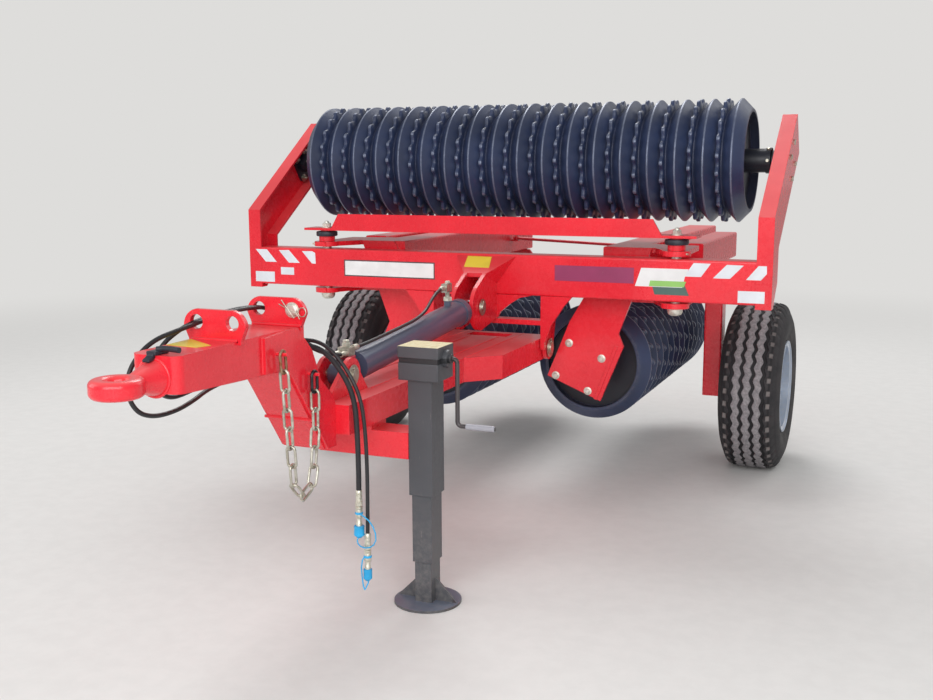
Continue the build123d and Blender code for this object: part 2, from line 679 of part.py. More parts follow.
wing_beam_front_y = hanger_front_y + hanger_plate
wing_beam_outer_x = wing_beam_inner_x + wing_beam_width
hinge_inner_x = wing_beam_inner_x + 60
plate_corner_y = wing_pin_y + hinge_plate_length
hanger_top_x = hanger_point(100, (wing_beam_top_z - wing_roller_z) / hanger_up.Y)[0]
hinge_outline = [(hanger_top_x, hanger_front_y), (wing_pin_x - 20, wing_pin_y - hinge_boss_r),
                 (wing_pin_x + 40, wing_pin_y), (wing_pin_x + 30, plate_corner_y),
                 (wing_beam_outer_x - 20, plate_corner_y + 40), (hinge_inner_x, plate_corner_y + 40),
                 (hinge_inner_x, wing_beam_front_y), (hanger_top_x, wing_beam_front_y)]
side_rail_z = (wing_beam_top_z + side_rail_bottom_z) / 2
tie_end_x = wing_beam_inner_x - tie_stand_off
for side, sign in sides:
    with BuildPart() as wing_frame:
        with BuildSketch(Plane.XZ.offset(-wing_beam_front_y)):
            with Locations((sign * (wing_beam_inner_x + wing_beam_width / 2),
                            (wing_beam_top_z + wing_beam_bottom_z) / 2)):
                RectangleRounded(wing_beam_width, wing_beam_top_z - wing_beam_bottom_z, beam_corner_r)
        extrude(amount=-(wing_beam_rear_y - wing_beam_front_y))
        for top_z in (wing_beam_top_z, lower_plate_top_z):
            with BuildSketch(Plane.XY.offset(top_z - hinge_plate)):
                with BuildLine():
                    Polyline(*[(sign * x, y) for x, y in hinge_outline], close=True)
                make_face()
                with Locations((sign * wing_pin_x, wing_pin_y)):
                    Circle(hinge_boss_r)
                    Circle(wing_pin_r + fit_gap, mode=Mode.SUBTRACT)
            extrude(amount=hinge_plate)
        with BuildSketch(Plane.XY.offset(lower_plate_bottom_z)):
            with Locations((sign * (wing_beam_outer_x - hinge_block_width / 2),
                            wing_beam_front_y + hinge_block_length / 2)):
                Rectangle(hinge_block_width, hinge_block_length)
        extrude(amount=wing_beam_bottom_z - lower_plate_bottom_z)
        with BuildSketch(Plane.XZ.offset(-side_rail_front_y)):
            with Locations((sign * (side_rail_inner_x + side_rail_width / 2), side_rail_z)):
                RectangleRounded(side_rail_width, wing_beam_top_z - side_rail_bottom_z, beam_corner_r)
        extrude(amount=-(side_rail_rear_y - side_rail_front_y))
        for tie_place_y in (side_rail_front_y + side_tie_inset, side_rail_rear_y - side_tie_inset):
            with BuildSketch(Plane.YZ.offset(sign * (wing_beam_outer_x - weld_bite))):
                with Locations((tie_place_y, side_rail_z)):
                    Rectangle(side_tie, side_tie)
            extrude(amount=sign * (side_rail_inner_x - wing_beam_outer_x + 2 * weld_bite))
        rest_z = (tie_left_z if sign < 0 else tie_right_z) - tie_eye_height / 2 - seat_gap
        with BuildSketch(Plane.XY.offset(rest_z - tie_shelf)):
            with Locations((sign * (wing_beam_inner_x - (tie_stand_off + tie_eye_r) / 2 + weld_bite / 2), tie_y)):
                Rectangle(tie_stand_off + tie_eye_r + weld_bite, 2 * tie_eye_r)
        extrude(amount=tie_shelf)
        if sign < 0:
            with BuildSketch(Plane.XY.offset(rest_z)):
                with Locations((sign * tie_end_x, tie_y)):
                    Circle(tie_pin_r)
            extrude(amount=tie_eye_height + tie_shelf)
    save(wing_frame, f"wing_frame_{side}")

    # Wheel leg with its stub axle
    with BuildPart() as leg:
        with BuildSketch(Plane.XY.offset(leg_bottom_z)):
            with Locations((sign * (leg_outer_x - leg_width / 2), wheel_y)):
                RectangleRounded(leg_width, leg_depth, beam_corner_r)
        extrude(amount=side_rail_bottom_z - leg_bottom_z)
        with BuildSketch(Plane.YZ.offset(sign * (leg_outer_x - weld_bite))):
            with Locations((wheel_y, tyre_r)):
                Circle(axle_r)
        extrude(amount=sign * (wheel_x + wheel_hub_front + axle_past_hub - leg_outer_x))
    save(leg, f"wheel_leg_{side}")

    # Hanger plates that carry the wing roller
    with BuildPart() as hangers:
        for plate_y, top_z, inward in ((hanger_front_y, wing_beam_top_z, 1), (hanger_rear_y, wing_beam_bottom_z, -1)):
            half, neck = hanger_width / 2, hanger_neck_width / 2
            rise = (top_z - wing_roller_z) / hanger_up.Y
            with BuildSketch(Plane.XZ.offset(-plate_y)):
                with BuildLine():
                    Polyline(*[(sign * x, z) for x, z in (
                        hanger_point(-half, -hanger_below_axis), hanger_point(half, -hanger_below_axis),
                        hanger_point(half, hanger_shoulder), hanger_point(neck, hanger_shoulder + hanger_bevel),
                        (hanger_point(neck, rise)[0], top_z), (hanger_point(-neck, rise)[0], top_z),
                        hanger_point(-half, hanger_shoulder))], close=True)
                make_face()
            extrude(amount=-hanger_plate)
            face_y = plate_y + (hanger_plate if inward > 0 else 0)
            with BuildSketch(Plane.XZ.offset(-face_y)):
                with Locations(Location((sign * wing_roller_x, wing_roller_z, 0), (0, 0, -sign * hanger_angle))):
                    Rectangle(hanger_seat, hanger_seat)
            extrude(amount=-inward * hanger_seat_height)
            with Locations((sign * wing_roller_x, face_y + inward * hanger_seat_height / 2, wing_roller_z)):
                Cylinder(journal_r + fit_gap, 4 * hanger_seat_height, rotation=(90, 0, 0), mode=Mode.SUBTRACT)
    save(hangers, f"hangers_{side}")

    # Wheel
    wheel_axis = Axis((0, wheel_y, tyre_r), (1, 0, 0))
    with BuildPart() as tyre:
        half = tyre_width / 2
        tyre_half = [(half - tyre_bead_in, rim_r), (half, tyre_side_r), (half - tyre_shoulder_in, tyre_r)]
        with BuildSketch(Plane.XZ.offset(-wheel_y)):
            with BuildLine():
                Polyline(*[(sign * wheel_x + x, tyre_r + r) for x, r in tyre_half],
                         *[(sign * wheel_x - x, tyre_r + r) for x, r in tyre_half[::-1]], close=True)
            make_face()
        revolve(axis=wheel_axis)
    save(tyre, f"tyre_{side}")
    with BuildPart() as rim:
        outer = wheel_x + rim_width / 2
        inner = wheel_x - rim_width / 2
        barrel_in = rim_r - rim_wall
        dish_x = wheel_x + dish_out
        axle_bore = axle_r + fit_gap
        with BuildSketch(Plane.XZ.offset(-wheel_y)):
            with BuildLine():
                Polyline(*[(sign * x, tyre_r + r) for x, r in (
                    (inner, rim_r - fit_gap), (outer, rim_r - fit_gap), (outer, barrel_in),
                    (dish_x + dish_wall, barrel_in), (dish_x + dish_wall, wheel_hub_r),
                    (wheel_x + wheel_hub_front, wheel_hub_r - weld_bite), (wheel_x + wheel_hub_front, axle_bore),
                    (wheel_x - wheel_hub_back, axle_bore), (wheel_x - wheel_hub_back, wheel_hub_r),
                    (dish_x, wheel_hub_r), (dish_x, barrel_in), (inner, barrel_in))], close=True)
            make_face()
        revolve(axis=wheel_axis)
    save(rim, f"rim_{side}")

# Transport tie: a rod that turns on the left wing and rests on the right one
tie_left = Vector(-tie_end_x, tie_y, tie_left_z)
tie_right = Vector(tie_end_x, tie_y, tie_right_z)
with BuildPart() as wing_tie:
    with BuildSketch(Plane(origin=tie_left, z_dir=tie_right - tie_left)):
        Circle(tie_r)
    extrude(amount=(tie_right - tie_left).length)
    for place in (tie_left, tie_right):
        with BuildSketch(Plane.XY.offset(place.Z - tie_eye_height / 2)):
            with Locations((place.X, place.Y)):
                Circle(tie_eye_r)
        extrude(amount=tie_eye_height)
    with Locations(tie_left):
        Cylinder(tie_pin_r + fit_gap, 2 * tie_eye_height, mode=Mode.SUBTRACT)
    trim_z = tie_right_z - tie_eye_height / 2
    with Locations((tie_right.X, tie_right.Y, trim_z)):
        Box(4 * tie_eye_r, 4 * tie_eye_r, tie_eye_height, align=(Align.CENTER, Align.CENTER, Align.MAX),
            mode=Mode.SUBTRACT)
    with Locations((tie_left.X, tie_left.Y, tie_left_z - tie_eye_height / 2)):
        Box(4 * tie_eye_r, 4 * tie_eye_r, tie_eye_height, align=(Align.CENTER, Align.CENTER, Align.MAX),
            mode=Mode.SUBTRACT)
save(wing_tie, "wing_tie")

# Jack: outer tube on the deck's side bracket with a crank, and a stepped leg with a round foot
head_bottom_z = jack_top_z - jack_head_height
crank_x = jack_x + jack_head_x / 2 + crank_out
with BuildPart() as jack_tube:
    with BuildSketch(Plane.XY.offset(jack_tube_bottom_z)):
        with Locations((jack_x, jack_y)):
            Rectangle(jack_tube_x, jack_tube_y)
            Rectangle(jack_tube_x - 2 * jack_wall, jack_tube_y - 2 * jack_wall, mode=Mode.SUBTRACT)
    extrude(amount=head_bottom_z - jack_tube_bottom_z)
    with BuildSketch(Plane.XY.offset(head_bottom_z)):
        with Locations((jack_x, jack_y)):
            Rectangle(jack_head_x, jack_head_y)
    extrude(amount=jack_head_height - jack_lid)
    with BuildSketch(Plane.XY.offset(jack_top_z - jack_lid)):
        with Locations((jack_x, jack_y)):
            Rectangle(jack_head_x + 2 * jack_lid_edge, jack_head_y + 2 * jack_lid_edge)
    extrude(amount=jack_lid)
    with BuildSketch(Plane.YZ.offset(jack_x + jack_head_x / 2)):
        with Locations((jack_y, jack_gear_z)):
            Circle(jack_gear_r)
    extrude(amount=jack_gear_length)
    with BuildLine() as crank_route:
        FilletPolyline((jack_x + jack_head_x / 2 - weld_bite, jack_y, jack_gear_z), (crank_x, jack_y, jack_gear_z),
                       (crank_x, jack_y, crank_drop_z), (crank_x + crank_grip, jack_y, crank_drop_z),
                       radius=crank_bend_r)
    with BuildSketch(Plane(origin=crank_route.line @ 0, z_dir=crank_route.line % 0)):
        Circle(crank_r)
    sweep()
save(jack_tube, "jack_tube")
jack_leg_x = jack_tube_x - 2 * (jack_wall + jack_slide_gap)
jack_leg_y = jack_tube_y - 2 * (jack_wall + jack_slide_gap)
with BuildPart() as jack_leg:
    with BuildSketch():
        with Locations((jack_x, jack_y)):
            Circle(jack_foot_r)
    extrude(amount=jack_foot_plate)
    with BuildSketch(Plane.XY.offset(jack_foot_plate)):
        with Locations((jack_x, jack_y)):
            Rectangle(jack_leg_x - jack_step, jack_leg_y - jack_step)
    extrude(amount=jack_step_z - jack_foot_plate)
    with BuildSketch(Plane.XY.offset(jack_step_z)):
        with Locations((jack_x, jack_y)):
            Rectangle(jack_leg_x, jack_leg_y)
    extrude(amount=jack_foot_plate + jack_leg_length - jack_step_z)
    gusset = [(-jack_foot_r + weld_bite, jack_foot_plate), (jack_foot_r - weld_bite, jack_foot_plate),
              (0, jack_foot_plate + 2 * jack_gusset_height)]
    with BuildSketch(Plane.XZ.offset(-jack_y - jack_gusset_plate / 2)):
        with BuildLine():
            Polyline(*[(jack_x + x, z) for x, z in gusset], close=True)
        make_face()
    extrude(amount=jack_gusset_plate)
save(jack_leg, "jack_leg")
with BuildPart() as jack_bracket:
    with BuildSketch(Plane.YZ.offset(-bracket_reach)):
        with Locations((jack_y, bracket_top_z - bracket_height / 2)):
            Rectangle(bracket_depth, bracket_height)
    extrude(amount=jack_x - jack_tube_x / 2 + bracket_reach)
    for _, sign in sides:
        with BuildSketch(Plane.XY.offset(bracket_top_z)):
            with Locations((sign * (bracket_reach - bracket_post / 2), jack_y)):
                Rectangle(bracket_post, bracket_depth)
        extrude(amount=deck_bottom_z - bracket_top_z)
save(jack_bracket, "jack_bracket")

# Tipping cylinder
base_pin = Vector(0, base_pin_y, base_pin_z)
barrel_line = Vector(0, rod_pin_y, rod_pin_z) - base_pin
pin_to_pin = barrel_line.length
barrel_dir = barrel_line.normalized()
barrel_end = pin_to_pin - barrel_front_gap
lug_rise = base_lug_r * sin(radians(45))
with BuildPart() as base_lugs:
    for _, sign in sides:
        with BuildSketch(Plane.YZ.offset(sign * base_lug_gap / 2)):
            with BuildLine():
                Polyline((base_pin_y - base_lug_front, deck_top_z), (base_pin_y - lug_rise, base_pin_z + lug_rise),
                         (base_pin_y + base_lug_r, base_pin_z), (base_pin_y + base_lug_rear, deck_top_z), close=True)
            make_face()
            with Locations((base_pin_y, base_pin_z)):
                Circle(base_lug_r)
        extrude(amount=sign * base_lug_plate)
    with Locations(base_pin):
        Cylinder(cylinder_pin_r + fit_gap, 4 * base_lug_gap, rotation=(0, 90, 0), mode=Mode.SUBTRACT)
save(base_lugs, "base_lugs")
with BuildPart() as cylinder_barrel:
    with BuildSketch(Plane(origin=base_pin + barrel_dir * barrel_back, z_dir=barrel_dir)):
        Circle(barrel_r)
    extrude(amount=barrel_end - barrel_back)
    with BuildSketch(Plane(origin=base_pin + barrel_dir * (barrel_end - gland_length), z_dir=barrel_dir)):
        Circle(gland_r)
    extrude(amount=gland_length)
    with BuildSketch(Plane.YZ.offset(-rod_eye_width / 2)):
        with Locations((base_pin_y, base_pin_z)):
            Circle(base_eye_r)
    extrude(amount=rod_eye_width)
    with BuildSketch(Plane(origin=base_pin, x_dir=(1, 0, 0), z_dir=barrel_dir)):
        Rectangle(rod_eye_width, eye_block_height)
    extrude(amount=barrel_back)
    with BuildSketch(Plane.XY.offset(base_pin_z)):
        with Locations((0, base_pin_y + front_port_back)):
            Rectangle(front_port, front_port)
    extrude(amount=front_port_height)
    for radius, top_z in ((rear_port_r, rear_port_top_z), (rear_pipe_r, elbow_z)):
        with BuildSketch(Plane.XY.offset(rod_pin_z)):
            with Locations((0, base_pin_y + rear_port_back)):
                Circle(radius)
        extrude(amount=top_z - rod_pin_z)
    with BuildSketch(Plane.XZ.offset(-elbow_front_y)):
        with Locations((0, elbow_z)):
            RectangleRounded(elbow_width, elbow_height, weld_bite)
    extrude(amount=-elbow_length)
    with Locations(base_pin):
        Cylinder(cylinder_pin_r + fit_gap, 2 * rod_eye_width, rotation=(0, 90, 0), mode=Mode.SUBTRACT)
    with BuildSketch(Plane(origin=base_pin + barrel_dir * (barrel_back + gland_length), z_dir=barrel_dir)):
        Circle(rod_r + fit_gap)
    extrude(amount=barrel_end, mode=Mode.SUBTRACT)
save(cylinder_barrel, "cylinder_barrel")
with BuildPart() as cylinder_rod:
    rod_start = barrel_back + 2 * gland_length
    with BuildSketch(Plane(origin=base_pin + barrel_dir * rod_start, z_dir=barrel_dir)):
        Circle(rod_r)
    extrude(amount=pin_to_pin - rod_start - cylinder_pin_r - weld_bite)
    with BuildSketch(Plane.YZ.offset(-rod_eye_width / 2)):
        with Locations((rod_pin_y, rod_pin_z)):
            Circle(rod_eye_r)
            Circle(cylinder_pin_r + rod_eye_play, mode=Mode.SUBTRACT)
    extrude(amount=rod_eye_width)
save(cylinder_rod, "cylinder_rod")

# Pins of the cylinder and of the drawbar pivot
base_lug_out = base_lug_gap / 2 + base_lug_plate
for node, place, radius, seat, head_r in (
        ("base_pin", (base_pin_y, base_pin_z), cylinder_pin_r, base_lug_out, pin_head_r),
        ("tilt_pin", (tilt_y, tilt_z), tilt_pin_r, lug_x + lug_plate, tilt_pin_r + 2 * weld_bite)):
    with BuildPart() as pin:
        with BuildSketch(Plane.YZ.offset(-seat - pin_stand_out)):
            with Locations(place):
                Circle(radius)
        extrude(amount=2 * (seat + pin_stand_out))
        for _, sign in sides:
            with BuildSketch(Plane.YZ.offset(sign * (seat + seat_gap))):
                with Locations(place):
                    Circle(head_r)
            extrude(amount=sign * pin_head)
    save(pin, node)

# Safety chain: links that turn by a quarter from one to the next, hung on two studs
with BuildLine() as chain_route:
    FilletPolyline(*[(chain_x, beam_front_y + along, z) for along, z in chain_places], radius=chain_bend_r)
chain_line = chain_route.wire()
link_half = chain_line.length / chain_link_count / 2 + chain_wire + seat_gap
link_side = chain_link_width / 2


def link_outline(inset):
    """Long hexagon of a link, that much inside its outer edge."""
    end, side = link_half - inset, link_side - inset
    return [(end, side / 2), (link_half - link_side, side), (link_side - link_half, side), (-end, side / 2),
            (-end, -side / 2), (link_side - link_half, -side), (link_half - link_side, -side), (end, -side / 2)]


with BuildPart() as link:
    extrude(outline(Plane.XY, link_outline(0)), amount=chain_wire / 2, both=True)
    extrude(outline(Plane.XY, link_outline(chain_wire)), amount=chain_wire, both=True, mode=Mode.SUBTRACT)
with BuildPart() as safety_chain:
    for index in range(chain_link_count):
        share = (index + 0.5) / chain_link_count
        flat = Plane(origin=chain_line @ share, x_dir=chain_line % share, z_dir=(1, 0, 0))
        with Locations(flat.location * Location((0, 0, 0), (90 * (index % 2), 0, 0))):
            add(link.part)
save(safety_chain, "safety_chain")

# Hydraulic hoses, and the couplings that hang at their ends
for node, table in hose_tables.items():
    save_cord(node, table)
save_cord("barrel_hose", barrel_hose_table)
for node, table in hose_tables.items():
    before, end = (Vector(x, beam_front_y + along, z) for x, along, z in table[-2:])
    with BuildPart() as coupling:
        with BuildSketch(Plane(origin=end, z_dir=end - before)):
            Circle(coupling_r)
        extrude(amount=coupling_length)
        with BuildSketch(Plane(origin=end + (end - before).normalized() * coupling_length, z_dir=end - before)):
            Circle(cap_r)
        extrude(amount=cap_length)
    save(coupling, node.replace("hose", "coupling"))
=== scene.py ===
import json
import math

import bmesh
import bpy
from bpy.props import FloatProperty, FloatVectorProperty, IntProperty, PointerProperty
from mathutils import Matrix, Vector


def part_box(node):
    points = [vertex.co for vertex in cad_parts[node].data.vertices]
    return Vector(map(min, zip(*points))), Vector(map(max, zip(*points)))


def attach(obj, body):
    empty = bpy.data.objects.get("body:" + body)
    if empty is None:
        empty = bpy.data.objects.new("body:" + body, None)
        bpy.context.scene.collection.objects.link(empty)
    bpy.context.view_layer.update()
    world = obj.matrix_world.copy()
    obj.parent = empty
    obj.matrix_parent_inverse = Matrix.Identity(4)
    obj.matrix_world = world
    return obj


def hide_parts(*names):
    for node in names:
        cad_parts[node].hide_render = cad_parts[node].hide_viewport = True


bl_info = {
    "name": "Folded Land Roller",
    "version": (1, 0, 0),
    "blender": (4, 5, 0),
    "location": "View3D > Sidebar > Land Roller",
    "description": "Dresses the packed frame of a folded land roller",
    "category": "Object",
}

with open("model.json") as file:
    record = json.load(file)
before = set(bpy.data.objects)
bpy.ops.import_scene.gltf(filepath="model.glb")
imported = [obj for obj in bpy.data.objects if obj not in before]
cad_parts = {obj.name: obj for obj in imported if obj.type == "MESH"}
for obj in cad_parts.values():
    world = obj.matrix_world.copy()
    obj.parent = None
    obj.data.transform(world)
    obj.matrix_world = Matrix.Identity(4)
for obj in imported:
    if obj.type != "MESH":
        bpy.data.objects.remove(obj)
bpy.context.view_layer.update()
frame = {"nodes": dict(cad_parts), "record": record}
finishes = {}
sides = (("right", 1), ("left", -1))
to_right, to_rear, to_top = Vector((1, 0, 0)), Vector((0, 1, 0)), Vector((0, 0, 1))
four_corners = ((1, 1), (1, -1), (-1, 1), (-1, -1))


def middle(node):
    """The middle of a node's box."""
    low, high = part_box(node)
    return (low + high) / 2


# Places and sizes on the frame that several pieces share, in metres
beam_face_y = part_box("front_beam")[0].y
arm_face_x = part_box("arm_right")[1].x
wheel_x, wheel_y = middle("tyre_right").xy
wheel_z = tyre_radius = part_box("tyre_right")[1].z / 2
roller_x, roller_z = middle("shaft_right").x, middle("shaft_right").z
top_roller_y, top_roller_z = middle("shaft_top").yz
ring_crest, ring_valley = 0.250, 0.208
pin_x, pin_y = middle("wing_pin_right").xy
neck_front_y, neck_top_z, neck_half_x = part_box("drawbar_neck")[0].y, 0.940, 0.070
ear_places_y, ear_half = (-1.629, -1.339), 0.0075
deck_top_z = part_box("drawbar_deck")[1].z
front_port_y, rear_port_y = -0.949, -0.156
jack_x, jack_y, jack_top_z = 0.262, -0.918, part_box("jack_tube")[1].z
jack_groove = (0.7835, 0.7990)


# Shader maths

class Wire:
    """A socket of a material's nodes, so that shader maths reads as Python."""

    def __init__(self, finish, socket):
        self.finish = finish
        self.socket = socket

    def maths(self, operation, *others):
        """This value, and the others after it, through one maths node."""
        values = dict(enumerate((self, *others)))
        return self.finish.node("ShaderNodeMath", {"operation": operation}, values)

    def __add__(self, other):
        return self.maths("ADD", other)

    def __sub__(self, other):
        return self.maths("SUBTRACT", other)

    def __rsub__(self, other):
        return self.maths("MULTIPLY_ADD", -1.0, other)

    def __mul__(self, other):
        return self.maths("MULTIPLY", other)

    __radd__ = __add__
    __rmul__ = __mul__

    def above(self, low, high):
        """0 below low, 1 above high, with a soft step between."""
        return self.finish.node("ShaderNodeMapRange", {"interpolation_type": "SMOOTHSTEP"},
                                {"Value": self, "From Min": low, "From Max": high})

    def within(self, low, high, soft=0.0005):
        """1 between low and high, and 0 outside."""
        return self.above(low - soft, low) * (1 - self.above(high, high + soft))


class Finish:
    """A material made of one Principled shader and what feeds it."""

    def __init__(self, name, **constants):
        self.material = bpy.data.materials.new(name)
        self.material.use_nodes = True
        self.nodes = self.material.node_tree.nodes
        self.shader = self.nodes["Principled BSDF"]
        self.set(**constants)
        self.place = self.node("ShaderNodeTexCoord", output="Object")

    def connect(self, target, value):
        if isinstance(value, Wire):
            self.material.node_tree.links.new(value.socket, target)
        else:
            target.default_value = value

    def set(self, **values):
        """Give the shader's sockets their values or wires."""
        for socket, value in values.items():
            self.connect(self.shader.inputs[socket.replace("_", " ")], value)

    def node(self, kind, settings=None, values=None, output=0):
        """One node of that type: its settings first, then its sockets' values or links."""
        made = self.nodes.new(kind)
        for key, value in (settings or {}).items():
            setattr(made, key, value)
        for socket, value in (values or {}).items():
            self.connect(made.inputs[socket], value)
        return Wire(self, made.outputs[output])

    def noise(self, scale, detail=3.0, rough=0.55, place=None):
        return self.node("ShaderNodeTexNoise", {}, {"Vector": place or self.place, "Scale": scale,
                                                    "Detail": detail, "Roughness": rough})

    def stretched(self, factors):
        """The place in the piece, scaled along each axis."""
        return self.node("ShaderNodeVectorMath", {"operation": "MULTIPLY"}, {0: self.place, 1: factors})

    def axis(self, letter):
        return self.node("ShaderNodeSeparateXYZ", {}, {"Vector": self.place}, output="XYZ".index(letter))

    def facing_up(self):
        """How far the surface faces up, from -1 to 1."""
        normal = self.node("ShaderNodeNewGeometry", output="Normal")
        return self.node("ShaderNodeSeparateXYZ", {}, {"Vector": normal}, output=2)

    def radius(self, first, second, centre):
        """Distance from a line along the third axis."""
        one, two = self.axis(first) - centre[0], self.axis(second) - centre[1]
        return (one * one + two * two).maths("SQRT")

    def mix(self, share, first, second):
        """first where share is 0 and second where it is 1, for colours."""
        return self.node("ShaderNodeMix", {"data_type": "RGBA"}, {0: share, 6: first, 7: second}, output=2)

    def patchy(self, cloud, shade, depth=0.84):
        """The colour, darker by that factor where the cloud is thin."""
        return self.mix(cloud.above(0.3, 0.7), shaded(shade, depth), shade)

    def bump(self, height, strength, distance, edge=0.0):
        """Raise the surface by that height, over edges that look rounded by that radius."""
        values = {"Height": height, "Strength": strength, "Distance": distance}
        if edge:
            values["Normal"] = self.node("ShaderNodeBevel", {"samples": 4}, {"Radius": edge})
        self.set(Normal=self.node("ShaderNodeBump", {}, values))


def linear(red, green, blue):
    """A colour given as on a screen, 0 to 255, as the shader wants it."""
    return tuple(((v / 255 + 0.055) / 1.055) ** 2.4 if v > 10 else v / 255 / 12.92
                 for v in (red, green, blue)) + (1.0,)


def shaded(shade, factor=1.0, lift=0.0):
    """A colour made darker or paler by that factor, with its alpha."""
    return tuple(v * factor + lift for v in shade[:3]) + (1.0,)


# Sizes and colours that a user would change

def colour(name, description, *shade):
    return FloatVectorProperty(name=name, description=description, subtype="COLOR", size=3,
                               min=0.0, max=1.0, default=linear(*shade)[:3])


def length(name, description, default):
    return FloatProperty(name=name, description=description, subtype="DISTANCE", default=default)


class RollerColours(bpy.types.PropertyGroup):
    paint: colour("Paint", "Colour of the red enamel", 234, 30, 48)
    # The rings' default is the dark navy-grey paint tinted bluer, as a painted sky reflection.
    rings: colour("Rings", "Colour of the rollers' dark paint", 46, 58, 90)
    jack: colour("Jack", "Colour of the jack's dark coat", 74, 75, 80)
    barrel: colour("Barrel", "Colour of the cylinder's barrel", 74, 82, 104)
    rim: colour("Rims", "Colour of the wheels' rims", 186, 198, 216)
    caps: colour("Caps", "Colour of the couplings' dust caps", 40, 160, 214)
    dust: colour("Dust", "Colour of the dust that lies on top", 196, 186, 176)


class RollerStage(bpy.types.PropertyGroup):
    lens: FloatProperty(name="Lens", description="Focal length on a 36 mm sensor, in mm", default=42.56)
    eye: FloatVectorProperty(name="Camera place", description="Where the camera stands", unit="LENGTH",
                             subtype="TRANSLATION", default=(1.690, -3.968, 1.3865), size=3)
    aim: FloatVectorProperty(name="Camera angles", description="Turn to the left, pitch down and roll",
                             subtype="EULER", size=3,
                             default=tuple(math.radians(a) for a in (22.93, 9.61, -0.20)))
    floor: colour("Floor", "Colour of the floor and of what is behind it", 222, 221, 219)


class RollerDetails(bpy.types.PropertyGroup):
    tread_depth: length("Tread depth", "Depth of the tyres' grooves", 0.009)
    tread_waves: IntProperty(name="Tread waves", description="Zigzags of a groove round the tyre", default=42)
    tread_sway: length("Tread sway", "How far a groove sways to a side", 0.005)
    weld_size: length("Weld size", "Radius of a weld bead", 0.0042)
    hose_size: length("Hose size", "Diameter of a hose", 0.012)
    link_wire: length("Chain wire", "Diameter of the safety chain's wire", 0.008)


# Mesh building

class Form:
    """Points and faces of one piece, in the machine's own frame."""

    def __init__(self):
        self.points = []
        self.faces = []

    def skin(self, rows, looped=False):
        """Faces between rows that run round, with end caps or, if looped, the last row on the first."""
        base, across, count = len(self.points), len(rows[0]), len(rows)
        self.points += [tuple(point) for row in rows for point in row]
        for line in range(count if looped else count - 1):
            here, there = base + line * across, base + (line + 1) % count * across
            for spot in range(across):
                after = (spot + 1) % across
                self.faces.append((here + spot, here + after, there + after, there + spot))
        if not looped:
            self.faces.append(tuple(range(base + across - 1, base - 1, -1)))
            self.faces.append(tuple(range(base + (count - 1) * across, base + count * across)))

    def turned(self, place, along, profile, steps=24, twist=0.0):
        """A form turned round a line: the profile gives how far along it and how far out."""
        along = Vector(along).normalized()
        first = along.orthogonal().normalized()
        second = along.cross(first)
        rows = []
        for far, out in profile:
            centre = Vector(place) + along * far
            rows.append([centre + (first * math.cos(angle) + second * math.sin(angle)) * out
                         for angle in (math.tau * spot / steps + twist for spot in range(steps))])
        self.skin(rows)

    def prism(self, outline, depth):
        """A flat outline of points, pushed along the depth vector."""
        self.skin([[Vector(point) + push for point in outline] for push in (Vector(), Vector(depth))])

    def plate(self, name, finish, body, slot, outline, depth, edge):
        """A piece that is one prism."""
        self.prism(outline, depth)
        self.build(name, finish, body, slot, edge=edge)

    def tube(self, line, radius, steps=8, closed=False, ripple=0.0):
        """A round wire along a line of points, with a ripple like that of a weld bead if one is given."""
        line = [Vector(point) for point in line]
        count, rows, across = len(line), [], None
        for index, point in enumerate(line):
            before = line[index - 1] if index or closed else point
            after = line[(index + 1) % count] if index < count - 1 or closed else point
            along = (after - before).normalized()
            across = along.orthogonal() if across is None else across - along * across.dot(along)
            across.normalize()
            other = along.cross(across)
            size = radius * (1 + ripple * (index % 2))
            rows.append([point + (across * math.cos(angle) + other * math.sin(angle)) * size
                         for angle in (math.tau * spot / steps for spot in range(steps))])
        self.skin(rows, looped=closed)

    def bolt(self, place, along, size, washer=True, stud=0.0):
        """A hexagon head or nut on a washer, with a stud's end if that is more than 0; size is its width."""
        start = size * 0.12 if washer else 0.0
        if washer:
            wide = size * 0.98
            self.turned(place, along, [(0, wide), (start * 0.8, wide), (start, size * 0.94)], 28)
        corner, top = size / math.sqrt(3), start + size * 0.5
        self.turned(place, along, [(start, corner), (start + size * 0.42, corner), (top, corner * 0.84)],
                    6, twist=0.3)
        if stud:
            self.turned(place, along, [(top, size * 0.3), (top + stud * 0.85, size * 0.3),
                                       (top + stud, size * 0.25)], 16)

    def build(self, name, finish, body, slot, sharp=35.0, edge=0.0):
        """Make the piece, give it its finish, and hang it on its body."""
        mesh = bpy.data.meshes.new(name)
        mesh.from_pydata(self.points, [], self.faces)
        solid = bmesh.new()
        solid.from_mesh(mesh)
        bmesh.ops.remove_doubles(solid, verts=solid.verts, dist=1e-6)
        bmesh.ops.recalc_face_normals(solid, faces=solid.faces)
        solid.to_mesh(mesh)
        solid.free()
        mesh.shade_smooth()
        mesh.set_sharp_from_angle(angle=math.radians(sharp))
        thing = bpy.data.objects.new(name, mesh)
        bpy.context.collection.objects.link(thing)
        mesh.materials.append(finishes[finish])
        if edge:
            bevel = thing.modifiers.new("edges", "BEVEL")
            bevel.width, bevel.segments, bevel.limit_method = edge, 2, "ANGLE"
        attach(thing, body)
        return thing


def arc(centre, first, second, radius, start, stop, steps):
    """Points of an arc in the plane of two vectors, by angles in degrees."""
    angles = [math.radians(start + (stop - start) * step / steps) for step in range(steps + 1)]
    return [Vector(centre) + (Vector(first) * math.cos(angle) + Vector(second) * math.sin(angle)) * radius
            for angle in angles]


def divided(line, pitch):
    """The same line with points that far apart."""
    points = []
    for before, after in zip(line, line[1:]):
        before, after = Vector(before), Vector(after)
        count = max(1, round((after - before).length / pitch))
        points += [before.lerp(after, step / count) for step in range(count)]
    return points + [Vector(line[-1])]


# Finishes

